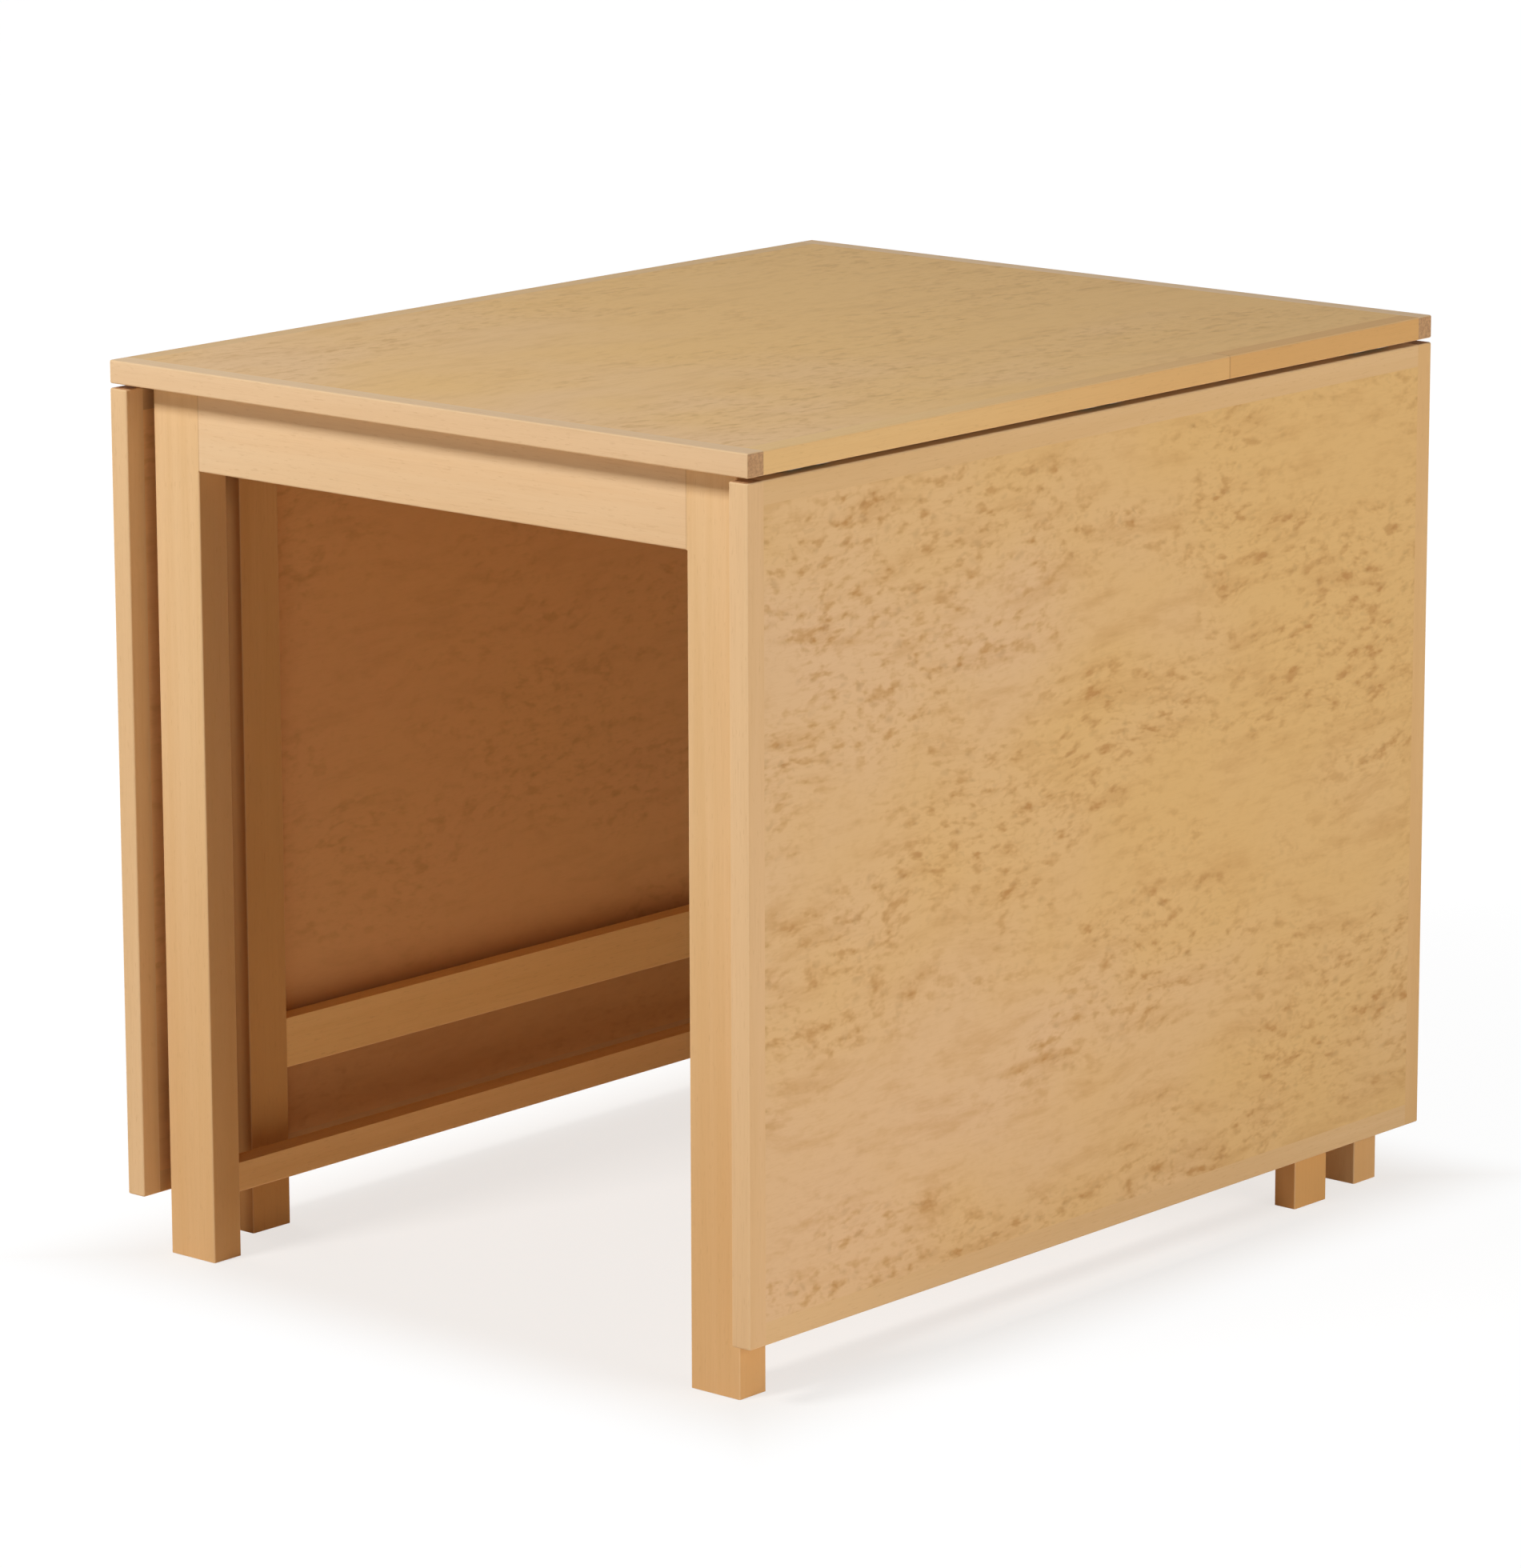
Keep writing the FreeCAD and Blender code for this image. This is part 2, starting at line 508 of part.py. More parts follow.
def frame(hinges, rail_buttons):
    """Legs, aprons, side rails and stretchers."""
    apron_z = (f"({UNDERSIDE} - apron_height)", UNDERSIDE)
    rails = {}
    for end, turned in (("front", False), ("back", True)):
        spans = ((f"-{LEG_INNER}", LEG_INNER), (f"-{LEG_END}", f"-{APRON_REAR}"), apron_z)
        rails[f"apron_{end}"] = tenoned(spans, "x", "y", "tenon_length", turned)
    for side, turned in SIDES:
        across, along = (RAIL_INNER, RAIL_OUTER), (f"-{LEG_REAR}", LEG_REAR)
        side_rail_z = (f"({UNDERSIDE} - side_rail_height)", UNDERSIDE)
        stretcher_z = ("stretcher_level", STRETCHER_UPPER)
        rails[f"side_rail_{side}"] = tenoned((across, along, side_rail_z), "y", "x", RAIL_TENON, turned)
        rails[f"stretcher_{side}"] = tenoned((across, along, stretcher_z), "y", "x", RAIL_TENON, turned)
    for side, turned in SIDES:
        hinged_end, free_end = END_NAMES[turned]
        hinged_edge = (f"-{LEG_END}", f"(edge_round - {LEG_END})")
        free_edge = (f"({LEG_END} - edge_round)", LEG_END)
        ends = ((hinged_end, (f"-{LEG_END}", f"-{LEG_REAR}"), hinged_edge, hinges[side]["fixed_screws"]),
                (free_end, (LEG_REAR, LEG_END), free_edge, []))
        for end, along, edge_y, screws in ends:
            leg = post((LEG_INNER, LEG_OUTER), along, ("0", UNDERSIDE), turned)
            # The edge is left square beside the apron, so that the two meet flush.
            square_edge = box(((LEG_INNER, f"({LEG_INNER} + edge_round)"), edge_y, apron_z), turned)
            joints = [rails[f"apron_{end}"], rails[f"side_rail_{side}"], rails[f"stretcher_{side}"]]
            node(f"leg_{end}_{side}", cut(fuse([leg, square_edge]), joints + screws))
    for name, piece in rails.items():
        node(name, cut(piece, rail_buttons[name]) if name in rail_buttons else piece)


def hardware(leaf_made, gate_made):
    """Fixed pieces of all hinges."""
    for side, made in leaf_made.items():
        node(f"leaf_hinge_housings_{side}", group(made["housings"]))
    groups = (
        ("leaf_hinge_pins", leaf_made, "pins"),
        ("leaf_hinge_screws", leaf_made, "housing_screws"),
        ("gate_hinge_fixed_leaves", gate_made, "fixed"),
        ("gate_hinge_pins", gate_made, "pins"),
        ("gate_hinge_fixed_screws", gate_made, "fixed_screws"),
    )
    for label, source, kind in groups:
        node(label, group([piece for made in source.values() for piece in made[kind]]))


def check():
    """Stop before anything is written if a piece failed."""
    doc.recompute()
    for item in doc.Objects:
        if {"Invalid", "Error"} & set(item.State):
            raise RuntimeError(f"{item.Label} failed: {item.State}")
    for label, piece in nodes.items():
        if piece.Shape.isNull() or not piece.Shape.isValid() or not piece.Shape.Solids:
            raise RuntimeError(f"{label} has no valid solid")


def export():
    """Write each sub-part to its own file."""
    os.makedirs("parts", exist_ok=True)
    for label, piece in nodes.items():
        piece.Shape.exportStep(f"parts/{label}.step")
    print(f"{len(nodes)} sub-parts written")


leaf_hinge_pieces = {side: leaf_hinges(turned) for side, turned in SIDES}
gate_hinge_pieces = {side: gate_hinges(turned) for side, turned in SIDES}
rail_buttons, button_screws = buttons()
top(leaf_hinge_pieces, button_screws)
frame(gate_hinge_pieces, rail_buttons)
for side, turned in SIDES:
    leaf(side, turned, leaf_hinge_pieces[side])
    gate(side, turned, gate_hinge_pieces[side])
hardware(leaf_hinge_pieces, gate_hinge_pieces)
check()
export()
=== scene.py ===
"""Looks of a birch folding table: a fixed top, two hanging leaves and two gates behind them.

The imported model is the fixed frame. This script gives every solid its wood or metal, puts slotted
screws in the place of the plain ones, and sets up a pale floor, studio lamps and the camera.
All lengths are metres: +X to the right leaf, +Y to the back, +Z up.
"""

from __future__ import annotations

import logging
import math
from dataclasses import dataclass, field
from enum import Enum

import bmesh
import bpy
import numpy as np
from mathutils import Matrix, Vector

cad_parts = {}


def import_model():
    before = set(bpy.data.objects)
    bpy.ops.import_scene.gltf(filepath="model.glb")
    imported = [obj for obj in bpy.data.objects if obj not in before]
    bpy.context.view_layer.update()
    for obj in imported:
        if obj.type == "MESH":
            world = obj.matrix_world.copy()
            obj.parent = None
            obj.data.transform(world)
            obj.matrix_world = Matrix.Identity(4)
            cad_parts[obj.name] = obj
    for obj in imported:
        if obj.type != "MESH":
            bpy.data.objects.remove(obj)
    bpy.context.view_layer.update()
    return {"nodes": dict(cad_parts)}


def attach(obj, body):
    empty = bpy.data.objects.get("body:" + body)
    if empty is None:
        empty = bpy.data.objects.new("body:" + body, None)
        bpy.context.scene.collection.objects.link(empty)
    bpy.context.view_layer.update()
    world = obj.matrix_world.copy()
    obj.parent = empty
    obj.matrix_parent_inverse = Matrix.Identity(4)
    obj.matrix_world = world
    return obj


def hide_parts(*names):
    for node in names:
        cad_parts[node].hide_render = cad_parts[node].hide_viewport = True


log = logging.getLogger("folding_table")

Colour = tuple[float, float, float]
Triple = tuple[float, float, float]
Span = tuple[float, float]
Settings = dict[str, object]
Inputs = dict[str | int, object]

WHITE: Colour = (1.0, 1.0, 1.0)
BLACK: Colour = (0.0, 0.0, 0.0)
NO_SHIFT: Triple = (0.0, 0.0, 0.0)

# Satin lacquer on all the woods that show: its roughness and the strength of its gloss.
SATIN_ROUGHNESS = 0.46
SATIN_GLOSS = 0.04


def paint(red: float, green: float, blue: float) -> Colour:
    """A screen colour of 0 to 255 as the linear colour that a shader takes.

    Args:
        red: Red of the screen colour.
        green: Green of the screen colour.
        blue: Blue of the screen colour.

    Returns:
        The linear colour.
    """

    def linear(value: float) -> float:
        """One channel made linear."""
        share = value / 255
        return share / 12.92 if share <= 0.04045 else ((share + 0.055) / 1.055) ** 2.4

    return linear(red), linear(green), linear(blue)


def bearing(azimuth: float, elevation: float) -> Vector:
    """The direction from the table to a place round it.

    Args:
        azimuth: Degrees from the front towards the right.
        elevation: Degrees above the level.

    Returns:
        The direction, one unit long.
    """
    turn, rise = math.radians(azimuth), math.radians(elevation)
    level = math.cos(rise)
    return Vector((math.sin(turn) * level, -math.cos(turn) * level, math.sin(rise)))


class Grain(Enum):
    """The direction in which the fibres of a piece run."""

    ALONG_X = 0
    ALONG_Y = 1
    ALONG_Z = 2

    def order(self) -> tuple[int, int, int]:
        """The axes with the one along the fibres first."""
        first = self.value
        return first, (first + 1) % 3, (first + 2) % 3


class Side(Enum):
    """The two long sides of the table."""

    LEFT = "left"
    RIGHT = "right"


class Wire:
    """A node's output that takes part in Python expressions; each operator adds a Math node."""

    def __init__(self, sketch: Sketch, socket: bpy.types.NodeSocket) -> None:
        """Keep the socket with the tree that it belongs to."""
        self.sketch = sketch
        self.socket = socket

    def _math(self, operation: str, *terms: Wire | float) -> Wire:
        """The result of a Math node on these terms."""
        return self.sketch.wire("ShaderNodeMath", {"operation": operation}, dict(enumerate(terms)))

    def __add__(self, other: Wire | float) -> Wire:
        """The sum."""
        return self._math("ADD", self, other)

    def __radd__(self, other: float) -> Wire:
        """The sum, from the right."""
        return self._math("ADD", other, self)

    def __sub__(self, other: Wire | float) -> Wire:
        """The difference."""
        return self._math("SUBTRACT", self, other)

    def __rsub__(self, other: float) -> Wire:
        """The difference, from the right."""
        return self._math("SUBTRACT", other, self)

    def __mul__(self, other: Wire | float) -> Wire:
        """The product."""
        return self._math("MULTIPLY", self, other)

    def __rmul__(self, other: float) -> Wire:
        """The product, from the right."""
        return self._math("MULTIPLY", other, self)

    def __gt__(self, other: Wire | float) -> Wire:
        """1 where this value is the larger one, else 0."""
        return self._math("GREATER_THAN", self, other)

    def __lt__(self, other: Wire | float) -> Wire:
        """1 where this value is the smaller one, else 0."""
        return self._math("LESS_THAN", self, other)

    def __abs__(self) -> Wire:
        """The size without the sign."""
        return self._math("ABSOLUTE", self)

    def larger(self, other: Wire | float) -> Wire:
        """The larger of two values."""
        return self._math("MAXIMUM", self, other)

    def rise(self, low: float, high: float) -> Wire:
        """A soft step from 0 at low to 1 at high; it falls where low is the larger one.

        Args:
            low: Value at which the step is 0.
            high: Value at which the step is 1.

        Returns:
            The step, between 0 and 1.
        """
        return self.sketch.wire(
            "ShaderNodeMapRange",
            {"interpolation_type": "SMOOTHSTEP"},
            {"Value": self, "From Min": low, "From Max": high},
        )


Parts = tuple[Wire, Wire, Wire]


class Sketch:
    """A node tree under construction."""

    def __init__(self, tree: bpy.types.NodeTree) -> None:
        """Keep the tree that the nodes go to."""
        self.tree = tree

    def node(
        self, kind: str, settings: Settings | None = None, inputs: Inputs | None = None
    ) -> bpy.types.Node:
        """Add a node, set its own settings first and then its sockets.

        Args:
            kind: Type name of the node.
            settings: Values of the node's properties.
            inputs: Wires or plain values by the name or number of the socket.

        Returns:
            The node.
        """
        made = self.tree.nodes.new(kind)
        for name, value in (settings or {}).items():
            setattr(made, name, value)
        for key, value in (inputs or {}).items():
            if isinstance(value, Wire):
                self.tree.links.new(value.socket, made.inputs[key])
            else:
                made.inputs[key].default_value = value
        return made

    def wire(
        self,
        kind: str,
        settings: Settings | None = None,
        inputs: Inputs | None = None,
        output: str | int = 0,
    ) -> Wire:
        """Add a node, as node() does, and take one of its outputs by name or number."""
        return Wire(self, self.node(kind, settings, inputs).outputs[output])

    def split(self, vector: Wire) -> Parts:
        """The three parts of a vector."""
        parts = self.node("ShaderNodeSeparateXYZ", None, {0: vector}).outputs
        return Wire(self, parts[0]), Wire(self, parts[1]), Wire(self, parts[2])


class ShaderSketch(Sketch):
    """A material under construction."""

    # The Mix node has sockets of one name for several types; these are the ones for colours.
    MIX_SHARE, MIX_FIRST, MIX_SECOND, MIX_RESULT = 0, 6, 7, 2

    def __init__(self, name: str) -> None:
        """Start an empty material.

        Args:
            name: Name of the material.
        """
        self.material = bpy.data.materials.new(name)
        self.material.use_nodes = True
        super().__init__(self.material.node_tree)
        self.tree.nodes.clear()

    def place(self) -> Wire:
        """The point on the piece, in metres in the table's frame."""
        return self.wire("ShaderNodeTexCoord", output="Object")

    def facing(self) -> Wire:
        """The direction of the surface in the piece's own frame."""
        return self.wire("ShaderNodeTexCoord", output="Normal")

    def turned(self, parts: Parts, grain: Grain) -> Wire:
        """The place with the way of the fibres first."""
        inputs = {socket: parts[axis] for socket, axis in enumerate(grain.order())}
        return self.wire("ShaderNodeCombineXYZ", None, inputs)

    def stretch(self, vector: Wire, factors: Triple, shift: Triple = NO_SHIFT) -> Wire:
        """A vector times factors plus a shift, each part by its own."""
        inputs = {0: vector, 1: factors, 2: shift}
        return self.wire("ShaderNodeVectorMath", {"operation": "MULTIPLY_ADD"}, inputs)

    def add(self, vector: Wire, other: Wire) -> Wire:
        """The sum of two vectors."""
        return self.wire("ShaderNodeVectorMath", {"operation": "ADD"}, {0: vector, 1: other})

    def noise(self, vector: Wire, detail: float, roughness: float, twist: float) -> Wire:
        """Cloudy noise with features about one unit across.

        Args:
            vector: Place at which the noise is read.
            detail: Number of finer layers.
            roughness: Weight of the finer layers.
            twist: How far the noise bends its own place.

        Returns:
            Values round 0.5.
        """
        inputs = {
            "Vector": vector,
            "Scale": 1.0,
            "Detail": detail,
            "Roughness": roughness,
            "Distortion": twist,
        }
        return self.wire("ShaderNodeTexNoise", None, inputs)

    def bend(self, vector: Wire, scale: float, reach: float) -> Wire:
        """A place moved about by soft noise.

        Args:
            vector: The place.
            scale: Waves to a unit.
            reach: How far it moves.

        Returns:
            The moved place.
        """
        inputs = {"Vector": vector, "Scale": scale, "Detail": 1.0}
        cloud = self.wire("ShaderNodeTexNoise", None, inputs, "Color")
        half = -reach / 2
        return self.add(vector, self.stretch(cloud, (reach, reach, reach), (half, half, half)))

    def cells(self, vector: Wire) -> tuple[Wire, Wire]:
        """Scattered points, one to a unit of space.

        Args:
            vector: Place at which the points are read.

        Returns:
            The distance to the nearest point, and a random value of that point.
        """
        node = self.node("ShaderNodeTexVoronoi", None, {"Vector": vector, "Scale": 1.0})
        lot = self.split(Wire(self, node.outputs["Color"]))[0]
        return Wire(self, node.outputs["Distance"]), lot

    def mix(self, share: Wire, first: Wire | Colour, second: Wire | Colour) -> Wire:
        """Two colours mixed.

        Args:
            share: Share of the second colour.
            first: First colour.
            second: Second colour.

        Returns:
            The mixed colour.
        """
        inputs: Inputs = {self.MIX_SHARE: share}
        for socket, value in ((self.MIX_FIRST, first), (self.MIX_SECOND, second)):
            inputs[socket] = value if isinstance(value, Wire) else (*value, 1.0)
        return self.wire("ShaderNodeMix", {"data_type": "RGBA"}, inputs, self.MIX_RESULT)

    def bump(self, height: Wire, depth: float, strength: float) -> Wire:
        """A bumped surface direction.

        Args:
            height: Height from 0 to 1.
            depth: Metres from 0 to 1.
            strength: Share of the effect.

        Returns:
            The direction.
        """
        inputs = {"Height": height, "Distance": depth, "Strength": strength}
        return self.wire("ShaderNodeBump", None, inputs)

    def finish(self, **inputs: Wire | float | Colour) -> bpy.types.Material:
        """Close the material with one surface shader.

        Args:
            inputs: Sockets of the surface shader, with _ for a space.

        Returns:
            The material.
        """
        named = {name.replace("_", " "): value for name, value in inputs.items()}
        surface = self.wire("ShaderNodeBsdfPrincipled", None, named)
        self.node("ShaderNodeOutputMaterial", None, {"Surface": surface})
        return self.material


@dataclass(frozen=True)
class Layer:
    """One layer of noise in a finish.

    Attributes:
        waves: Waves to a metre, first along the fibres and then across them both ways.
        detail: Number of finer layers in it.
        roughness: Weight of the finer layers.
        twist: How far the noise bends its own place.
        step: Values of the noise between which the layer comes in; without it the noise is plain.
    """

    waves: Triple
    detail: float = 2.0
    roughness: float = 0.5
    twist: float = 0.0
    step: Span | None = None

    def draw(self, sketch: ShaderSketch, place: Wire, lot: Triple = NO_SHIFT) -> Wire:
        """Add the layer to a material.

        Args:
            sketch: The material.
            place: Place with the way of the fibres first.
            lot: Shift that gives a finish its own piece of the noise.

        Returns:
            The layer's value, from 0 to 1.
        """
        stretched = sketch.stretch(place, self.waves, lot)
        noise = sketch.noise(stretched, self.detail, self.roughness, self.twist)
        return noise.rise(*self.step) if self.step else noise


@dataclass(frozen=True)
class SolidBirch:
    """Straight-grained birch under satin lacquer, with darker end grain and paler worn edges.

    Attributes:
        name: Name of the material.
        grain: The way of its fibres.
        pale: Palest tone of the grain.
        deep: Deepest tone of the grain.
        fleck_and_shade: Tone of pores, hairlines and dark joints, and of the painted shade on faces
            turned inwards and on the fronts and backs of the gate posts.
        end_pale: Pale rings of the end grain.
        end_dark: Dark rings of the end grain.
        worn: Tone of edges that hands have rubbed.
        low: Darker tone for the painted shade towards the floor and on the faces to the left and
            right, and for the wood near and past a joint.
        end_share: How plain the end grain shows.
        floor_shade: How far the wood is darkened towards the floor: painted shade.
        side_shade: How far the faces to the left and right are darkened: painted shade.
        front_shade: How far the faces to the front and back are darkened: painted shade.
        inside: How far the faces towards the middle of the table are darkened: painted shade.
        joint: Place along Y of a joint in the length of the piece.
        shoulder: Distance from the middle to the shoulders at both ends of the piece.
        shift: Shift that gives the finish its own piece of the noise.
    """

    name: str
    grain: Grain
    pale: Colour = paint(236, 202, 156)
    deep: Colour = paint(224, 185, 134)
    fleck_and_shade: Colour = paint(176, 126, 78)
    end_pale: Colour = paint(196, 152, 108)
    end_dark: Colour = paint(154, 110, 74)
    worn: Colour = paint(238, 205, 160)
    low: Colour = paint(214, 163, 100)
    end_share: float = 0.92
    floor_shade: float = 0.0
    side_shade: float = 0.0
    front_shade: float = 0.0
    inside: float = 0.0
    joint: float | None = None
    shoulder: float | None = None
    shift: float = 0.0

    BROAD = Layer((1.6, 11, 11), step=(0.25, 0.75))
    BANDS = Layer((2.4, 85, 85), detail=3, roughness=0.6, twist=0.4, step=(0.3, 0.7))
    FIBRE = Layer((26, 820, 820))
    PORES = Layer((105, 760, 760), detail=1, step=(0.62, 0.78))
    RINGS = Layer((30, 420, 420), detail=3, roughness=0.7, step=(0.3, 0.7))
    FIBRE_STEP = (0.5, 0.8)
    RELIEF = 0.0002

    # Heights between which the painted shade towards the floor deepens, and distances from a joint
    # or a shoulder.
    FLOOR_SHADE_HEIGHTS = (0.62, 0.0)
    JOINT_FADE = (-0.4, 0.0)
    JOINT_CHANGE = (-0.0002, 0.0002)
    JOINT_LINE = (0.0011, 0.0004)
    SHOULDER_LINE = (0.0014, 0.0003)

    # Parts of the surface's direction between which a face counts as turned that way.
    INWARD_STEP = (-0.05, -0.2)
    FACE_STEP = (0.6, 0.9)
    EDGE_STEP = (0.02, 0.2)
    END_STEP = (0.72, 0.93)

    def build(self) -> bpy.types.Material:
        """Make the material for pieces whose fibres run along the finish's grain.

        Returns:
            The material.
        """
        sketch = ShaderSketch(self.name)
        place = sketch.split(sketch.place())
        normal = sketch.split(sketch.facing())
        along = sketch.turned(place, self.grain)
        lot = (self.shift, 2.3 * self.shift, 3.1 * self.shift)
        broad = self.BROAD.draw(sketch, along, lot)
        bands = self.BANDS.draw(sketch, along, lot)
        fibre = self.FIBRE.draw(sketch, along, lot)
        pores = self.PORES.draw(sketch, along, lot)
        rings = self.RINGS.draw(sketch, along, lot)

        wood = sketch.mix((broad * 0.55 + bands * 0.45) * 0.85, self.pale, self.deep)
        wood = self._marked(sketch, wood, place)
        specks = pores * 0.16 + fibre.rise(*self.FIBRE_STEP) * 0.1
        wood = sketch.mix(specks, wood, self.fleck_and_shade)
        wood = self._faced(sketch, wood, place, normal)
        end = abs(normal[self.grain.value]).rise(*self.END_STEP)
        end_grain = sketch.mix(rings, self.end_pale, self.end_dark)
        return sketch.finish(
            Base_Color=sketch.mix(end * self.end_share, wood, end_grain),
            Roughness=SATIN_ROUGHNESS + fibre * 0.1 + end * 0.2,
            Normal=sketch.bump(fibre * 0.6 + (1 - pores) * 0.4, self.RELIEF, 0.35),
            Specular_IOR_Level=SATIN_GLOSS,
        )

    def _marked(self, sketch: ShaderSketch, wood: Wire, place: Parts) -> Wire:
        """Add the marks that depend on the place: painted shade towards the floor, a joint and the
        hairlines at shoulders.

        Args:
            sketch: The material.
            wood: Colour so far.
            place: Place on the piece.

        Returns:
            The colour with the marks.
        """
        # Painted shade: the wood turns darker towards the floor.
        if self.floor_shade:
            wood = sketch.mix(place[2].rise(*self.FLOOR_SHADE_HEIGHTS) * self.floor_shade, wood, self.low)
        if self.joint is not None:
            # Darker over the 0.4 m before the joint, and a step darker past it.
            past = place[1] - self.joint
            joint_darkening = past.rise(*self.JOINT_FADE) * 0.5 + past.rise(*self.JOINT_CHANGE) * 0.22
            wood = sketch.mix(joint_darkening, wood, self.low)
            wood = sketch.mix(abs(past).rise(*self.JOINT_LINE) * 0.55, wood, self.fleck_and_shade)
        if self.shoulder is not None:
            gap = self.shoulder - abs(place[self.grain.value])
            wood = sketch.mix(gap.rise(*self.SHOULDER_LINE) * 0.4, wood, self.fleck_and_shade)
        return wood

    def _faced(self, sketch: ShaderSketch, wood: Wire, place: Parts, normal: Parts) -> Wire:
        """Add the painted shade that depends on the way a face is turned, and the worn edges.

        Args:
            sketch: The material.
            wood: Colour so far.
            place: Place on the piece.
            normal: Direction of the surface.

        Returns:
            The colour with the tones.
        """
        across, lengthwise, upwards = (abs(part) for part in normal)
        # Painted shade on the faces turned towards the middle of the table.
        if self.inside:
            inwards = (normal[0] * place[0]).rise(*self.INWARD_STEP)
            wood = sketch.mix(inwards * self.inside, wood, self.fleck_and_shade)
        # Painted shade on the faces turned to the left and right.
        if self.side_shade:
            wood = sketch.mix(across.rise(*self.FACE_STEP) * self.side_shade, wood, self.low)
        # Painted shade on the faces turned to the front and back.
        if self.front_shade:
            wood = sketch.mix(lengthwise.rise(*self.FACE_STEP) * self.front_shade, wood, self.fleck_and_shade)
        edge = (1 - across.larger(lengthwise).larger(upwards)).rise(*self.EDGE_STEP)
        return sketch.mix(edge * 0.4, wood, self.worn)


@dataclass(frozen=True)
class FiguredVeneer:
    """Masur birch veneer: a golden ground with clouds of short brown flecks and curled strokes.

    Attributes:
        name: Name of the material.
        gold: Golden tone of the ground.
        rose: Rosy tone of the ground.
        shade: Tone of streaks and smudges.
        bark_and_shade: Tone of the flecks, and of the painted shade near the lower edge of a leaf.
        strength: How strong the figure is.
        low_edge_shade: How far the veneer is darkened near the lower edge of a leaf: painted shade.
        shift: Shift that gives the finish its own piece of the noise.
    """

    name: str
    gold: Colour = paint(228, 189, 128)
    rose: Colour = paint(230, 194, 151)
    shade: Colour = paint(199, 151, 94)
    bark_and_shade: Colour = paint(150, 100, 54)
    strength: float = 1.0
    low_edge_shade: float = 0.0
    shift: float = 0.0

    CLOUDS = Layer((4, 9, 9), detail=3, roughness=0.6, step=(0.4, 0.6))
    BLUSH = Layer((4, 6, 6))
    STREAKS = Layer((13, 60, 60), detail=4, roughness=0.6, step=(0.47, 0.74))
    SMUDGES = Layer((58, 118, 118), step=(0.5, 0.74))
    GRIT = Layer((110, 220, 220), detail=1, step=(0.52, 0.74))
    CURLS = Layer((88, 165, 165), detail=1, twist=0.5, step=(0.6, 0.76))
    FIBRE = Layer((60, 700, 700))
    FIBRE_STEP = (0.5, 0.85)
    RELIEF = 0.0001

    # Flecks to a metre; how many waves to a metre bend them and the ground, and how far.
    FLECKS = (60, 112, 112)
    GROUND_BEND = (7.0, 0.028)
    FLECK_BEND = (80.0, 0.01)

    BLUSH_STEP = (0.06, 0.44)
    FLECK_SIZE = (0.5, 0.0)
    FLECK_LOTTERY = (0.4, 1.0)
    LOW_EDGE_SHADE_HEIGHTS = (0.21, 0.13)

    def build(self) -> bpy.types.Material:
        """Make the material for the faces of the top and of the leaves, with its figure along Y.

        Returns:
            The material.
        """
        sketch = ShaderSketch(self.name)
        place = sketch.split(sketch.place())
        along = sketch.turned(place, Grain.ALONG_Y)
        lot = (self.shift, 1.7 * self.shift, 2.9 * self.shift)
        flow = sketch.bend(along, *self.GROUND_BEND)
        clouds = self.CLOUDS.draw(sketch, flow, lot)

        blush_and_painted_light = self.BLUSH.draw(sketch, flow, lot[::-1])
        # Random blush, turned golden towards the back as painted light against the lamp's falloff,
        # and golden higher up.
        blush_and_painted_light = blush_and_painted_light * 0.55 - place[1] * 0.33 - place[2] * 0.2
        ground = sketch.mix(blush_and_painted_light.rise(*self.BLUSH_STEP), self.gold, self.rose)
        streaks = self.STREAKS.draw(sketch, flow, lot)
        smudges = self.SMUDGES.draw(sketch, flow, lot)
        grit = self.GRIT.draw(sketch, flow, lot)
        veil = streaks * 0.36 + smudges * (0.14 + clouds * 0.58) + grit * (0.06 + clouds * 0.2)
        ground = sketch.mix(veil * (0.35 + 0.65 * self.strength), ground, self.shade)

        scattered = sketch.stretch(sketch.bend(flow, *self.FLECK_BEND), self.FLECKS, lot)
        distance, lottery = sketch.cells(scattered)
        spots = distance.rise(*self.FLECK_SIZE) * lottery.rise(*self.FLECK_LOTTERY)
        curls = self.CURLS.draw(sketch, flow, lot[::-1])
        flecks = spots.larger(curls * 0.42) * (0.2 + clouds * 0.8)
        wood = sketch.mix(flecks * (0.28 * self.strength), ground, self.bark_and_shade)

        fibre = self.FIBRE.draw(sketch, along, lot)
        wood = sketch.mix(fibre.rise(*self.FIBRE_STEP) * 0.16, wood, self.shade)
        # Painted shade near the lower edge of a leaf, behind the rails and stretcher.
        if self.low_edge_shade:
            wood = sketch.mix(place[2].rise(*self.LOW_EDGE_SHADE_HEIGHTS) * self.low_edge_shade, wood, self.bark_and_shade)
        return sketch.finish(
            Base_Color=wood,
            Roughness=SATIN_ROUGHNESS + fibre * 0.1 + flecks * 0.08,
            Normal=sketch.bump(fibre, self.RELIEF, 0.3),
            Specular_IOR_Level=SATIN_GLOSS,
        )


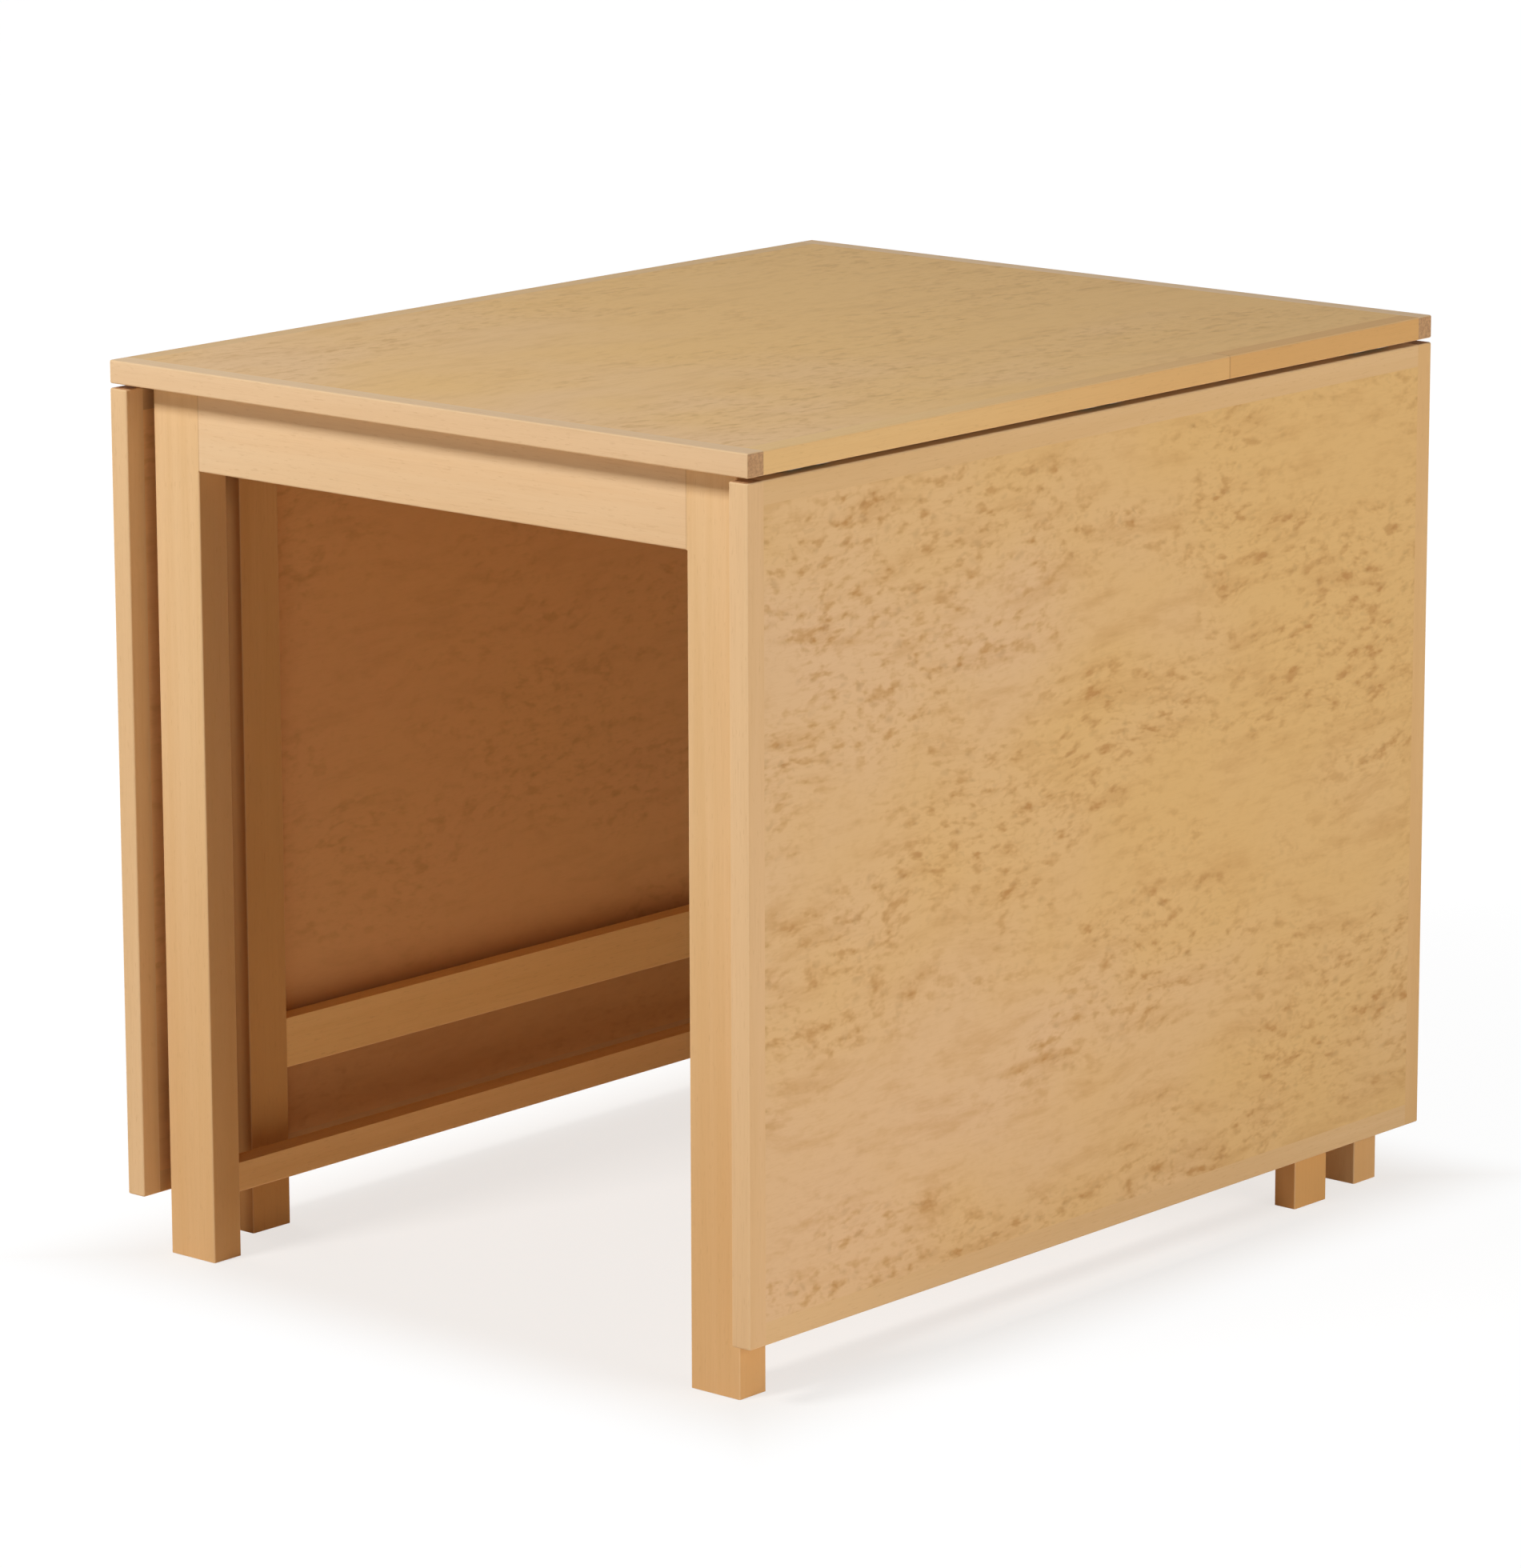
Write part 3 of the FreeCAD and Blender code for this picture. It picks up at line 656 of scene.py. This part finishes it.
@dataclass(frozen=True)
class SawnCore:
    """Blockboard core: sawn strips of differing tone, open to view only inside a mortise."""

    name: str
    strip: float = 0.028
    strips_along: float = 2.0
    pale: Colour = paint(224, 190, 142)
    deep: Colour = paint(192, 150, 100)

    SAW = Layer((240, 35, 240))
    RELIEF = 0.0003
    ROUGHNESS = 0.72
    GLOSS = 0.25

    def build(self) -> bpy.types.Material:
        """Make the material of the cores.

        Returns:
            The material.
        """
        sketch = ShaderSketch(self.name)
        along = sketch.turned(sketch.split(sketch.place()), Grain.ALONG_Y)
        board = sketch.stretch(along, (self.strips_along, 1 / self.strip, 1 / self.strip))
        strips, lot = sketch.cells(board)
        saw = self.SAW.draw(sketch, along)
        return sketch.finish(
            Base_Color=sketch.mix(lot * 0.7 + saw * 0.3, self.pale, self.deep),
            Roughness=self.ROUGHNESS + saw * 0.15,
            Normal=sketch.bump(saw + strips * 0.2, self.RELIEF, 0.5),
            Specular_IOR_Level=self.GLOSS,
        )


@dataclass(frozen=True)
class WornMetal:
    """Metal of the fittings, dulled in clouds and brushed along their length."""

    name: str
    bright: Colour
    dull: Colour
    brushed: Grain
    roughness: float

    TARNISH = Layer((70, 110, 110), detail=4, roughness=0.6, step=(0.38, 0.72))
    BRUSH = Layer((60, 1900, 1900), detail=1)
    RELIEF = 0.00005

    def build(self) -> bpy.types.Material:
        """Make the material of one kind of fitting.

        Returns:
            The material.
        """
        sketch = ShaderSketch(self.name)
        along = sketch.turned(sketch.split(sketch.place()), self.brushed)
        tarnish = self.TARNISH.draw(sketch, along)
        brush = self.BRUSH.draw(sketch, along)
        return sketch.finish(
            Base_Color=sketch.mix(tarnish * 0.8 + brush * 0.2, self.bright, self.dull),
            Metallic=1.0,
            Roughness=self.roughness + tarnish * 0.18 + brush * 0.08,
            Normal=sketch.bump(brush, self.RELIEF, 0.4),
        )


# Pale and deep tones of the wood behind the leaves, and of the level lippings.
INNER = (paint(229, 185, 126), paint(213, 165, 104))
LIPPING = (paint(229, 193, 144), paint(220, 181, 129))


class Finish(Enum):
    """The finishes of this table, each made once."""

    # Legs: painted shade towards the floor and on the faces to the left and right.
    LEG = SolidBirch("birch_upright", Grain.ALONG_Z, floor_shade=0.42, side_shade=0.5)
    APRON = SolidBirch(
        "birch_across", Grain.ALONG_X, paint(235, 205, 165), paint(226, 190, 146),
        end_share=0.25, shoulder=0.252, shift=3.7,
    )
    RAIL = SolidBirch("birch_lengthwise", Grain.ALONG_Y, *INNER, end_share=0.3, shift=7.9)
    # The low rails and stretchers get paler copies of the rail wood: painted light, for the shade
    # they stand in under the table.
    LOW_RAIL_LIT = SolidBirch(
        "birch_low_rail_lit", Grain.ALONG_Y, paint(255, 213, 147), paint(246, 201, 133),
        end_share=0.3, shift=35.2,
    )
    STRETCHER_LIT = SolidBirch(
        "birch_stretcher_lit", Grain.ALONG_Y, paint(242, 198, 138), paint(230, 182, 120),
        end_share=0.3, shift=7.9,
    )
    # Gate posts: painted shade towards the floor and on their fronts and backs.
    POST = SolidBirch(
        "birch_gate", Grain.ALONG_Z, *INNER, floor_shade=0.85, front_shade=0.6, shift=31.5
    )
    LIP_X = SolidBirch(
        "lipping_across", Grain.ALONG_X, paint(235, 203, 163), paint(226, 191, 149),
        end_share=0.75, shift=12.4,
    )
    # Level lippings: painted shade on the faces turned towards the middle of the table.
    LIP_Y = SolidBirch("lipping_lengthwise", Grain.ALONG_Y, *LIPPING, inside=0.5, shift=17.1)
    # Upright lippings at the front of the leaves: painted shade on the faces to the left and right.
    LIP_Z = SolidBirch(
        "lipping_upright", Grain.ALONG_Z, paint(235, 201, 157), paint(226, 189, 142),
        side_shade=0.22, shift=21.6,
    )
    # A darker copy of the upright lipping for the lippings at the back of the leaves: painted
    # shade, with painted shade on the faces to the left and right too.
    LIP_Z_SHADED = SolidBirch(
        "lipping_upright_shaded", Grain.ALONG_Z, paint(231, 194, 142), paint(222, 182, 128),
        side_shade=0.25, shift=23.9,
    )
    LIP_JOINED = SolidBirch(
        "lipping_joined", Grain.ALONG_Y, paint(236, 198, 139), paint(228, 186, 127),
        joint=0.152, shift=27.3,
    )
    TOP_FACE = FiguredVeneer(
        "masur_top", paint(234, 191, 126), paint(234, 196, 152), strength=0.4, shift=4.2
    )
    LEAF_FACE = FiguredVeneer("masur_leaf", shift=0.6)
    # Inside of the leaves: painted shade near the lower edge.
    LEAF_BACK = FiguredVeneer(
        "masur_leaf_inside", paint(236, 186, 125), paint(236, 184, 129),
        strength=0.35, low_edge_shade=0.32, shift=9.3,
    )
    CORE = SawnCore("sawn_core")
    BRASS = WornMetal(
        "dull_brass", paint(205, 170, 98), paint(140, 106, 52), Grain.ALONG_Z, 0.3
    )
    STEEL = WornMetal(
        "plated_steel", paint(150, 147, 140), paint(96, 93, 88), Grain.ALONG_Y, 0.42
    )
    SCREW = WornMetal(
        "screw_steel", paint(205, 201, 192), paint(158, 154, 146), Grain.ALONG_Y, 0.36
    )


class Wardrobe:
    """Hands out finishes, and makes each one when it is first asked for."""

    def __init__(self) -> None:
        """Start with no material made."""
        self._made: dict[Finish, bpy.types.Material] = {}

    def take(self, finish: Finish) -> bpy.types.Material:
        """Hand out the material of a finish.

        Args:
            finish: The finish.

        Returns:
            Its material.
        """
        if finish not in self._made:
            self._made[finish] = finish.value.build()
        return self._made[finish]

    def dress(self, piece: bpy.types.Object, finish: Finish) -> None:
        """Put a finish on all of a piece.

        Args:
            piece: The piece.
            finish: Its finish.
        """
        material = self.take(finish)
        if not piece.data.materials:
            piece.data.materials.append(material)
        for slot in piece.material_slots:
            slot.material = material
        log.info("%s wears %s", piece.name, material.name)


@dataclass
class SubAssembly:
    """A group of solids with the finish of each."""

    wardrobe: Wardrobe
    nodes: dict[str, bpy.types.Object]

    def finishes(self) -> dict[str, Finish]:
        """The finish of each solid by its name."""
        return {}

    def dress(self) -> None:
        """Put the finishes on the solids."""
        for name, finish in self.finishes().items():
            self.wardrobe.dress(self.nodes[name], finish)


@dataclass
class LegFrame(SubAssembly):
    """Four legs with their aprons, side rails, stretchers and the buttons that hold the top."""

    def finishes(self) -> dict[str, Finish]:
        """List the finishes of the frame.

        Returns:
            The finish of each solid by its name.
        """
        worn = {"top_buttons": Finish.APRON}
        for end in ("front", "back"):
            worn[f"apron_{end}"] = Finish.APRON
            for side in Side:
                worn[f"leg_{end}_{side.value}"] = Finish.LEG
        for side in Side:
            worn[f"side_rail_{side.value}"] = Finish.RAIL
            worn[f"stretcher_{side.value}"] = Finish.STRETCHER_LIT
        return worn


@dataclass
class FixedTop(SubAssembly):
    """Veneered top with lippings; those at the front and back run through to the corners."""

    def finishes(self) -> dict[str, Finish]:
        """The finish of each solid by its name."""
        return {
            "top_core": Finish.CORE,
            "top_face_veneer": Finish.TOP_FACE,
            "top_back_veneer": Finish.RAIL,
            "top_lipping_front": Finish.LIP_X,
            "top_lipping_back": Finish.LIP_X,
            "top_lipping_left": Finish.LIP_Y,
            "top_lipping_right": Finish.LIP_JOINED,
        }


@dataclass
class HangingLeaf(SubAssembly):
    """Veneered leaf with upright lippings at its ends and level ones above and below."""

    side: Side = Side.LEFT

    def finishes(self) -> dict[str, Finish]:
        """The finish of each solid by its name."""
        worn = {
            "core": Finish.CORE,
            "face_veneer": Finish.LEAF_FACE,
            "back_veneer": Finish.LEAF_BACK,
            "lipping_front": Finish.LIP_Z,
            "lipping_back": Finish.LIP_Z_SHADED,
            "lipping_lower": Finish.LIP_Y,
            "lipping_hinge": Finish.LIP_Y,
            "hinge_arms": Finish.STEEL,
        }
        return {f"leaf_{self.side.value}_{name}": finish for name, finish in worn.items()}


@dataclass
class SwingGate(SubAssembly):
    """Gate of a free leg, a pivot post and two rails, with its halves of the brass hinges."""

    side: Side = Side.LEFT

    def finishes(self) -> dict[str, Finish]:
        """The finish of each solid by its name."""
        worn = {
            "free_leg": Finish.POST,
            "pivot_post": Finish.POST,
            "top_rail": Finish.RAIL,
            "low_rail": Finish.LOW_RAIL_LIT,
            "hinge_leaves": Finish.BRASS,
        }
        return {f"gate_{self.side.value}_{name}": finish for name, finish in worn.items()}


@dataclass
class FixedFittings(SubAssembly):
    """Hinge pieces that stay with the frame."""

    def finishes(self) -> dict[str, Finish]:
        """The finish of each solid by its name."""
        return {
            "leaf_hinge_housings_left": Finish.STEEL,
            "leaf_hinge_housings_right": Finish.STEEL,
            "leaf_hinge_pins": Finish.STEEL,
            "gate_hinge_fixed_leaves": Finish.BRASS,
            "gate_hinge_pins": Finish.BRASS,
        }


@dataclass(frozen=True)
class ScrewPlace:
    """Where one screw sits: the middle of its head, its driving direction and its length."""

    head: Vector
    driving: Vector
    length: float


class ScrewTree(Sketch):
    """Geometry Nodes that put a slotted countersunk screw at each point of a mesh.

    The screw that is repeated has the face of its head at the origin and is driven along +Z.
    """

    SIZES = {
        "Head radius": 0.0031,
        "Head depth": 0.0015,
        "Shank radius": 0.0016,
        "Length": 0.015,
        "Slot width": 0.0009,
        "Slot depth": 0.0008,
    }
    ROUND = 24
    TIP_RADIUS = 0.0002
    SEED = 11

    # Share of the length at which the tip starts.
    TIP_START = 0.8

    # The block that cuts the slot: its length in head radii and its height in slot depths.
    CUTTER_LENGTH, CUTTER_HEIGHT = 3.0, 2.0

    # Discs between head, shank and tip: from this many slot depths down to this share of the
    # length, with this part of their direction along the screw. The rims then join within WELD.
    DISCS_FROM, DISCS_TO, DISC_LEVEL = 1.5, 0.99, 0.99
    WELD = 1e-5

    # Random Value has sockets of one name for several types; these are the ones for numbers.
    RANDOM_MOST, RANDOM_RESULT = 3, 1

    def __init__(self) -> None:
        """Build the tree."""
        super().__init__(bpy.data.node_groups.new("slotted_screws", "GeometryNodeTree"))
        face = self.tree.interface
        face.new_socket("Geometry", in_out="INPUT", socket_type="NodeSocketGeometry")
        face.new_socket("Geometry", in_out="OUTPUT", socket_type="NodeSocketGeometry")
        for name, value in self.SIZES.items():
            size = face.new_socket(name, in_out="INPUT", socket_type="NodeSocketFloat")
            size.default_value = value
        face.new_socket("Finish", in_out="INPUT", socket_type="NodeSocketMaterial")
        given = self.node("NodeGroupInput").outputs
        self.given = {socket.name: Wire(self, socket) for socket in given if socket.name}
        self._spread(self._welded(self._shapes()))

    def _moved(self, shape: Wire, up: Wire) -> Wire:
        """A shape moved along Z."""
        shift = self.wire("ShaderNodeCombineXYZ", None, {"Z": up})
        return self.wire("GeometryNodeTransform", None, {"Geometry": shape, "Translation": shift})

    def _cone(self, bottom: Wire, top: Wire | float, depth: Wire) -> Wire:
        """A cone that stands on the origin."""
        inputs = {"Radius Bottom": bottom, "Radius Top": top, "Depth": depth}
        return self.wire("GeometryNodeMeshCone", None, {"Vertices": self.ROUND, **inputs}, "Mesh")

    def _shapes(self) -> Wire:
        """Make head, shank and tip of one screw, with a slot in the head.

        Returns:
            The three shapes.
        """
        given = self.given
        shank_radius, head_depth = given["Shank radius"], given["Head depth"]
        tip_start = given["Length"] * self.TIP_START
        shank_length = tip_start - head_depth
        head = self._cone(given["Head radius"], shank_radius, head_depth)
        shank = self.wire(
            "GeometryNodeMeshCylinder",
            None,
            {"Vertices": self.ROUND, "Radius": shank_radius, "Depth": shank_length},
            "Mesh",
        )
        shank = self._moved(shank, shank_length * 0.5 + head_depth)
        tip = self._cone(shank_radius, self.TIP_RADIUS, given["Length"] * (1 - self.TIP_START))
        tip = self._moved(tip, tip_start)
        cutter_size = {
            "X": given["Head radius"] * self.CUTTER_LENGTH,
            "Y": given["Slot width"],
            "Z": given["Slot depth"] * self.CUTTER_HEIGHT,
        }
        size = self.wire("ShaderNodeCombineXYZ", None, cutter_size)
        cutter = self.wire("GeometryNodeMeshCube", None, {"Size": size}, "Mesh")
        slotted = self.wire(
            "GeometryNodeMeshBoolean",
            {"operation": "DIFFERENCE"},
            {"Mesh 1": head, "Mesh 2": cutter},
            "Mesh",
        )
        screw = self.node("GeometryNodeJoinGeometry")
        for shape in (tip, shank, slotted):
            self.tree.links.new(shape.socket, screw.inputs[0])
        return Wire(self, screw.outputs[0])

    def _welded(self, shapes: Wire) -> Wire:
        """Make head, shank and tip one closed mesh, without the discs between them.

        Args:
            shapes: The three shapes.

        Returns:
            The mesh of one screw.
        """
        down = self.split(self.wire("GeometryNodeInputPosition"))[2]
        level = abs(self.split(self.wire("GeometryNodeInputNormal"))[2]) > self.DISC_LEVEL
        past_slot = down > self.given["Slot depth"] * self.DISCS_FROM
        before_end = down < self.given["Length"] * self.DISCS_TO
        hollow = self.wire(
            "GeometryNodeDeleteGeometry",
            {"domain": "FACE"},
            {"Geometry": shapes, "Selection": past_slot * before_end * level},
        )
        merged = {"Geometry": hollow, "Distance": self.WELD}
        return self.wire("GeometryNodeMergeByDistance", None, merged)

    def _spread(self, screw: Wire) -> None:
        """Put a screw at each point, turned about its axis by chance.

        Args:
            screw: The mesh of one screw.
        """
        driving = self.wire(
            "GeometryNodeInputNamedAttribute", {"data_type": "FLOAT_VECTOR"}, {"Name": "driving"}
        )
        aim = self.wire("FunctionNodeAlignRotationToVector", {"axis": "Z"}, {"Vector": driving})
        chance = self.wire(
            "FunctionNodeRandomValue",
            {"data_type": "FLOAT"},
            {self.RANDOM_MOST: math.pi, "Seed": self.SEED},
            self.RANDOM_RESULT,
        )
        euler = self.wire("ShaderNodeCombineXYZ", None, {"Z": chance})
        turn = self.wire("FunctionNodeEulerToRotation", None, {0: euler})
        turned = self.wire(
            "FunctionNodeRotateRotation",
            {"rotation_space": "LOCAL"},
            {"Rotation": aim, "Rotate By": turn},
        )
        spread = self.wire(
            "GeometryNodeInstanceOnPoints",
            None,
            {"Points": self.given["Geometry"], "Instance": screw, "Rotation": turned},
        )
        real = self.wire("GeometryNodeRealizeInstances", None, {"Geometry": spread})
        dressed = {"Geometry": real, "Material": self.given["Finish"]}
        done = self.wire("GeometryNodeSetMaterial", None, dressed)
        self.node("NodeGroupOutput", None, {0: done})

    def drive(
        self, name: str, places: list[ScrewPlace], finish: bpy.types.Material
    ) -> bpy.types.Object:
        """Make a plain mesh of screws.

        Args:
            name: Name of the new piece.
            places: Where the screws sit.
            finish: Their material.

        Returns:
            The piece, at the origin.
        """
        points = bpy.data.meshes.new(f"{name}_points")
        points.from_pydata([place.head for place in places], [], [])
        driving = points.attributes.new("driving", "FLOAT_VECTOR", "POINT")
        driving.data.foreach_set("vector", [value for place in places for value in place.driving])
        piece = bpy.data.objects.new(name, points)
        bpy.context.scene.collection.objects.link(piece)
        modifier = piece.modifiers.new("screws", "NODES")
        modifier.node_group = self.tree
        sockets = [item for item in self.tree.interface.items_tree if item.in_out == "INPUT"]
        keys = {socket.name: socket.identifier for socket in sockets}
        modifier[keys["Length"]] = min(place.length for place in places)
        modifier[keys["Finish"]] = finish
        bpy.context.view_layer.update()
        shaped = piece.evaluated_get(bpy.context.evaluated_depsgraph_get())
        mesh = bpy.data.meshes.new_from_object(shaped)
        piece.modifiers.clear()
        piece.data = mesh
        bpy.data.meshes.remove(points)
        return piece


@dataclass
class ScrewSet:
    """The screws of one solid, which slotted ones replace."""

    node: str
    body: str
    slot: str
    finish: Finish

    # Distance within which points of the solid are one, and digits by which screws are sorted.
    MERGE = 1e-6
    DIGITS = 5

    def places(self, solid: bpy.types.Object) -> list[ScrewPlace]:
        """Find each screw in the solid's mesh.

        Args:
            solid: The plain screws.

        Returns:
            Where they sit.
        """
        copy = bmesh.new()
        copy.from_mesh(solid.data)
        bmesh.ops.remove_doubles(copy, verts=copy.verts, dist=self.MERGE)
        waiting = set(copy.verts)
        found = []
        while waiting:
            island, edge = [], [waiting.pop()]
            while edge:
                vertex = edge.pop()
                island.append(vertex.co[:])
                near = {link.other_vert(vertex) for link in vertex.link_edges} & waiting
                waiting -= near
                edge.extend(near)
            found.append(self._place(np.array(island)))
        copy.free()
        return sorted(found, key=lambda place: [round(value, self.DIGITS) for value in place.head])

    @staticmethod
    def _place(points: np.ndarray) -> ScrewPlace:
        """Find the place of one screw; its widest part is its head.

        Args:
            points: The points of its mesh.

        Returns:
            Where it sits.
        """
        middle = (points.min(axis=0) + points.max(axis=0)) / 2
        axis = np.linalg.svd(points - points.mean(axis=0), full_matrices=False)[2][0]
        run = (points - middle) @ axis
        radius = np.linalg.norm(points - middle - np.outer(run, axis), axis=1)
        if run[radius.argmax()] > 0:
            axis, run = -axis, -run
        head = Vector(middle + axis * run.min())
        return ScrewPlace(head, Vector(axis), float(run.max() - run.min()))

    def build(
        self, nodes: dict[str, bpy.types.Object], tree: ScrewTree, wardrobe: Wardrobe
    ) -> None:
        """Put slotted screws in the place of the plain ones.

        Args:
            nodes: The solids by name.
            tree: The Geometry Nodes that make a screw.
            wardrobe: The finishes.
        """
        places = self.places(nodes[self.node])
        piece = tree.drive(f"{self.node}_slotted", places, wardrobe.take(self.finish))
        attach(piece, self.body)
        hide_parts(self.node)
        log.info("%s: %d screws", piece.name, len(places))


SCREW_SETS = (
    ScrewSet("top_button_screws", "frame", "steel", Finish.SCREW),
    ScrewSet("leaf_hinge_screws", "frame", "steel", Finish.SCREW),
    ScrewSet("leaf_left_arm_screws", "leaf_left", "steel", Finish.SCREW),
    ScrewSet("leaf_right_arm_screws", "leaf_right", "steel", Finish.SCREW),
    ScrewSet("gate_hinge_fixed_screws", "frame", "brass", Finish.BRASS),
    ScrewSet("gate_left_hinge_screws", "gate_left", "brass", Finish.BRASS),
    ScrewSet("gate_right_hinge_screws", "gate_right", "brass", Finish.BRASS),
)


@dataclass(frozen=True)
class SoftBox:
    """A square studio lamp that faces the table. Angles are degrees, power is in watts."""

    name: str
    azimuth: float
    elevation: float
    distance: float
    side: float
    power: float

    def build(self, aim: Vector) -> None:
        """Hang the lamp.

        Args:
            aim: The point that it faces.
        """
        away = bearing(self.azimuth, self.elevation)
        data = bpy.data.lights.new(self.name, "AREA")
        data.shape, data.size, data.energy = "SQUARE", self.side, self.power
        lamp = bpy.data.objects.new(self.name, data)
        lamp.location = aim + away * self.distance
        lamp.rotation_mode = "QUATERNION"
        lamp.rotation_quaternion = (-away).to_track_quat("-Z", "Y")
        lamp.visible_camera = False
        bpy.context.scene.collection.objects.link(lamp)


@dataclass(frozen=True)
class Viewpoint:
    """The camera of the photograph, fitted to the corners of the table.

    Angles are degrees and the sensor is in millimetres. Slide and lift move the camera to the
    right of and above the line to the point that it aims at.
    """

    frame_long_side: float = 1960.0
    focal_pixels: float = 8889.101
    azimuth: float = 40.914
    elevation: float = 12.649
    roll: float = -0.167
    slide: float = -0.01826
    lift: float = -0.002141
    distance: float = 5.699283
    aim: Triple = (0.0, 0.0, 0.36)
    sensor: float = 36.0
    farthest: float = 100.0

    def build(self) -> None:
        """Make the scene's camera."""
        turn, roll = math.radians(self.azimuth), math.radians(self.roll)
        back = bearing(self.azimuth, self.elevation)
        level = Vector((math.cos(turn), math.sin(turn), 0.0))
        upright = back.cross(level)
        right = level * math.cos(roll) + upright * math.sin(roll)
        up = upright * math.cos(roll) - level * math.sin(roll)
        data = bpy.data.cameras.new("viewpoint")
        data.sensor_width = self.sensor
        data.lens = self.focal_pixels * self.sensor / self.frame_long_side
        data.clip_end = self.farthest
        camera = bpy.data.objects.new("viewpoint", data)
        place = Vector(self.aim) + back * self.distance + right * self.slide + up * self.lift
        turned = Matrix((right, up, back)).transposed().to_4x4()
        camera.matrix_world = Matrix.Translation(place) @ turned
        bpy.context.scene.collection.objects.link(camera)
        bpy.context.scene.camera = camera


@dataclass
class Studio:
    """Pale floor, white surroundings, lamps and camera.

    Bounce is the floor's colour for the light that it throws on the table. To the eye the floor has
    a shadow colour and a glow of its own, one of each under the table, within spread, and one of
    each round it, from fade on. Within haze it turns to pure white.
    """

    floor_reach: float = 30.0
    floor_corners: int = 64
    floor_drop: float = 0.0004
    bounce: Colour = (0.86, 0.715, 0.58)
    shadow: Colour = (0.2, 0.195, 0.19)
    shadow_far: Colour = (0.06, 0.06, 0.06)
    # Glow under the table, dimmer than round it: painted shade on the floor.
    glow: Colour = (0.74, 0.715, 0.69)
    glow_far: Colour = (0.96, 0.96, 0.96)
    spread: Span = (0.28, 0.38)
    fade: float = 0.15
    haze: Span = (0.4, 1.5)
    ambient: float = 0.04
    aim: Triple = (0.0, 0.0, 0.4)
    lamps: tuple[SoftBox, ...] = (
        SoftBox("key_front", -12.0, 42.1, 4.8, 0.95, 157.0),
        SoftBox("fill_right", 96.0, 8.0, 4.0, 2.2, 82.0),
        SoftBox("fill_front_right", 30.0, 12.0, 4.0, 1.2, 5.0),
        SoftBox("fill_back", 188.0, 8.0, 4.0, 0.8, 28.0),
        SoftBox("fill_left", -95.0, 12.0, 4.0, 2.2, 60.0),
    )
    viewpoint: Viewpoint = field(default_factory=Viewpoint)

    @staticmethod
    def _seen(sketch: Sketch) -> Wire:
        """Tell the rays that the eye sees from those that light the table.

        Args:
            sketch: The tree that asks.

        Returns:
            1 for rays from the camera, from gloss and through glass, and 0 for light.
        """
        rays = sketch.node("ShaderNodeLightPath").outputs
        total = Wire(sketch, rays["Is Camera Ray"])
        for name in ("Is Glossy Ray", "Is Transmission Ray"):
            total = sketch.wire(
                "ShaderNodeMath",
                {"operation": "ADD", "use_clamp": True},
                {0: total, 1: Wire(sketch, rays[name])},
            )
        return total

    def build_floor(self) -> None:
        """Lay a wide round floor that is white to the eye and keeps the table's shadow."""
        mesh = bpy.data.meshes.new("floor")
        disc = bmesh.new()
        bmesh.ops.create_circle(
            disc, cap_ends=True, segments=self.floor_corners, radius=self.floor_reach
        )
        disc.to_mesh(mesh)
        disc.free()
        floor = bpy.data.objects.new("floor", mesh)
        floor.location.z = -self.floor_drop
        bpy.context.scene.collection.objects.link(floor)
        sketch = ShaderSketch("pale_floor")
        east, north, _ = sketch.split(sketch.place())
        away = (abs(east) - self.spread[0]).larger(abs(north) - self.spread[1])
        far, gone = away.rise(0.0, self.fade), away.rise(*self.haze)
        seen = self._seen(sketch)
        shade = sketch.mix(far, self.shadow, self.shadow_far)
        # The dimmer glow within spread paints shade on the floor under the table.
        glow = sketch.mix(gone, sketch.mix(far, self.glow, self.glow_far), WHITE)
        material = sketch.finish(
            Base_Color=sketch.mix(seen, self.bounce, shade),
            Emission_Color=sketch.mix(seen, BLACK, glow),
            Emission_Strength=1.0,
            Roughness=1.0,
            Specular_IOR_Level=0.0,
        )
        mesh.materials.append(material)

    def build_world(self) -> None:
        """White to the eye, and a dim even light on the table."""
        world = bpy.data.worlds.new("studio")
        bpy.context.scene.world = world
        world.use_nodes = True
        sketch = Sketch(world.node_tree)
        background = world.node_tree.nodes["Background"]
        background.inputs["Color"].default_value = (*WHITE, 1.0)
        strength = sketch.wire(
            "ShaderNodeMapRange",
            None,
            {"Value": self._seen(sketch), "To Min": self.ambient, "To Max": 1.0},
        )
        sketch.tree.links.new(strength.socket, background.inputs["Strength"])

    def build(self) -> None:
        """Set up the studio."""
        bpy.context.scene.view_settings.view_transform = "Standard"
        self.build_floor()
        self.build_world()
        for lamp in self.lamps:
            lamp.build(Vector(self.aim))
        self.viewpoint.build()


def main() -> None:
    """Load the frame, dress it and set up the studio."""
    logging.basicConfig(level=logging.INFO, format="%(name)s: %(message)s")
    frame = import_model()
    nodes, wardrobe = frame["nodes"], Wardrobe()
    assemblies: list[SubAssembly] = [
        LegFrame(wardrobe, nodes),
        FixedTop(wardrobe, nodes),
        FixedFittings(wardrobe, nodes),
    ]
    for side in Side:
        assemblies += [HangingLeaf(wardrobe, nodes, side), SwingGate(wardrobe, nodes, side)]
    for assembly in assemblies:
        assembly.dress()
    tree = ScrewTree()
    for screws in SCREW_SETS:
        screws.build(nodes, tree, wardrobe)
    Studio().build()


if __name__ == "__main__":
    main()
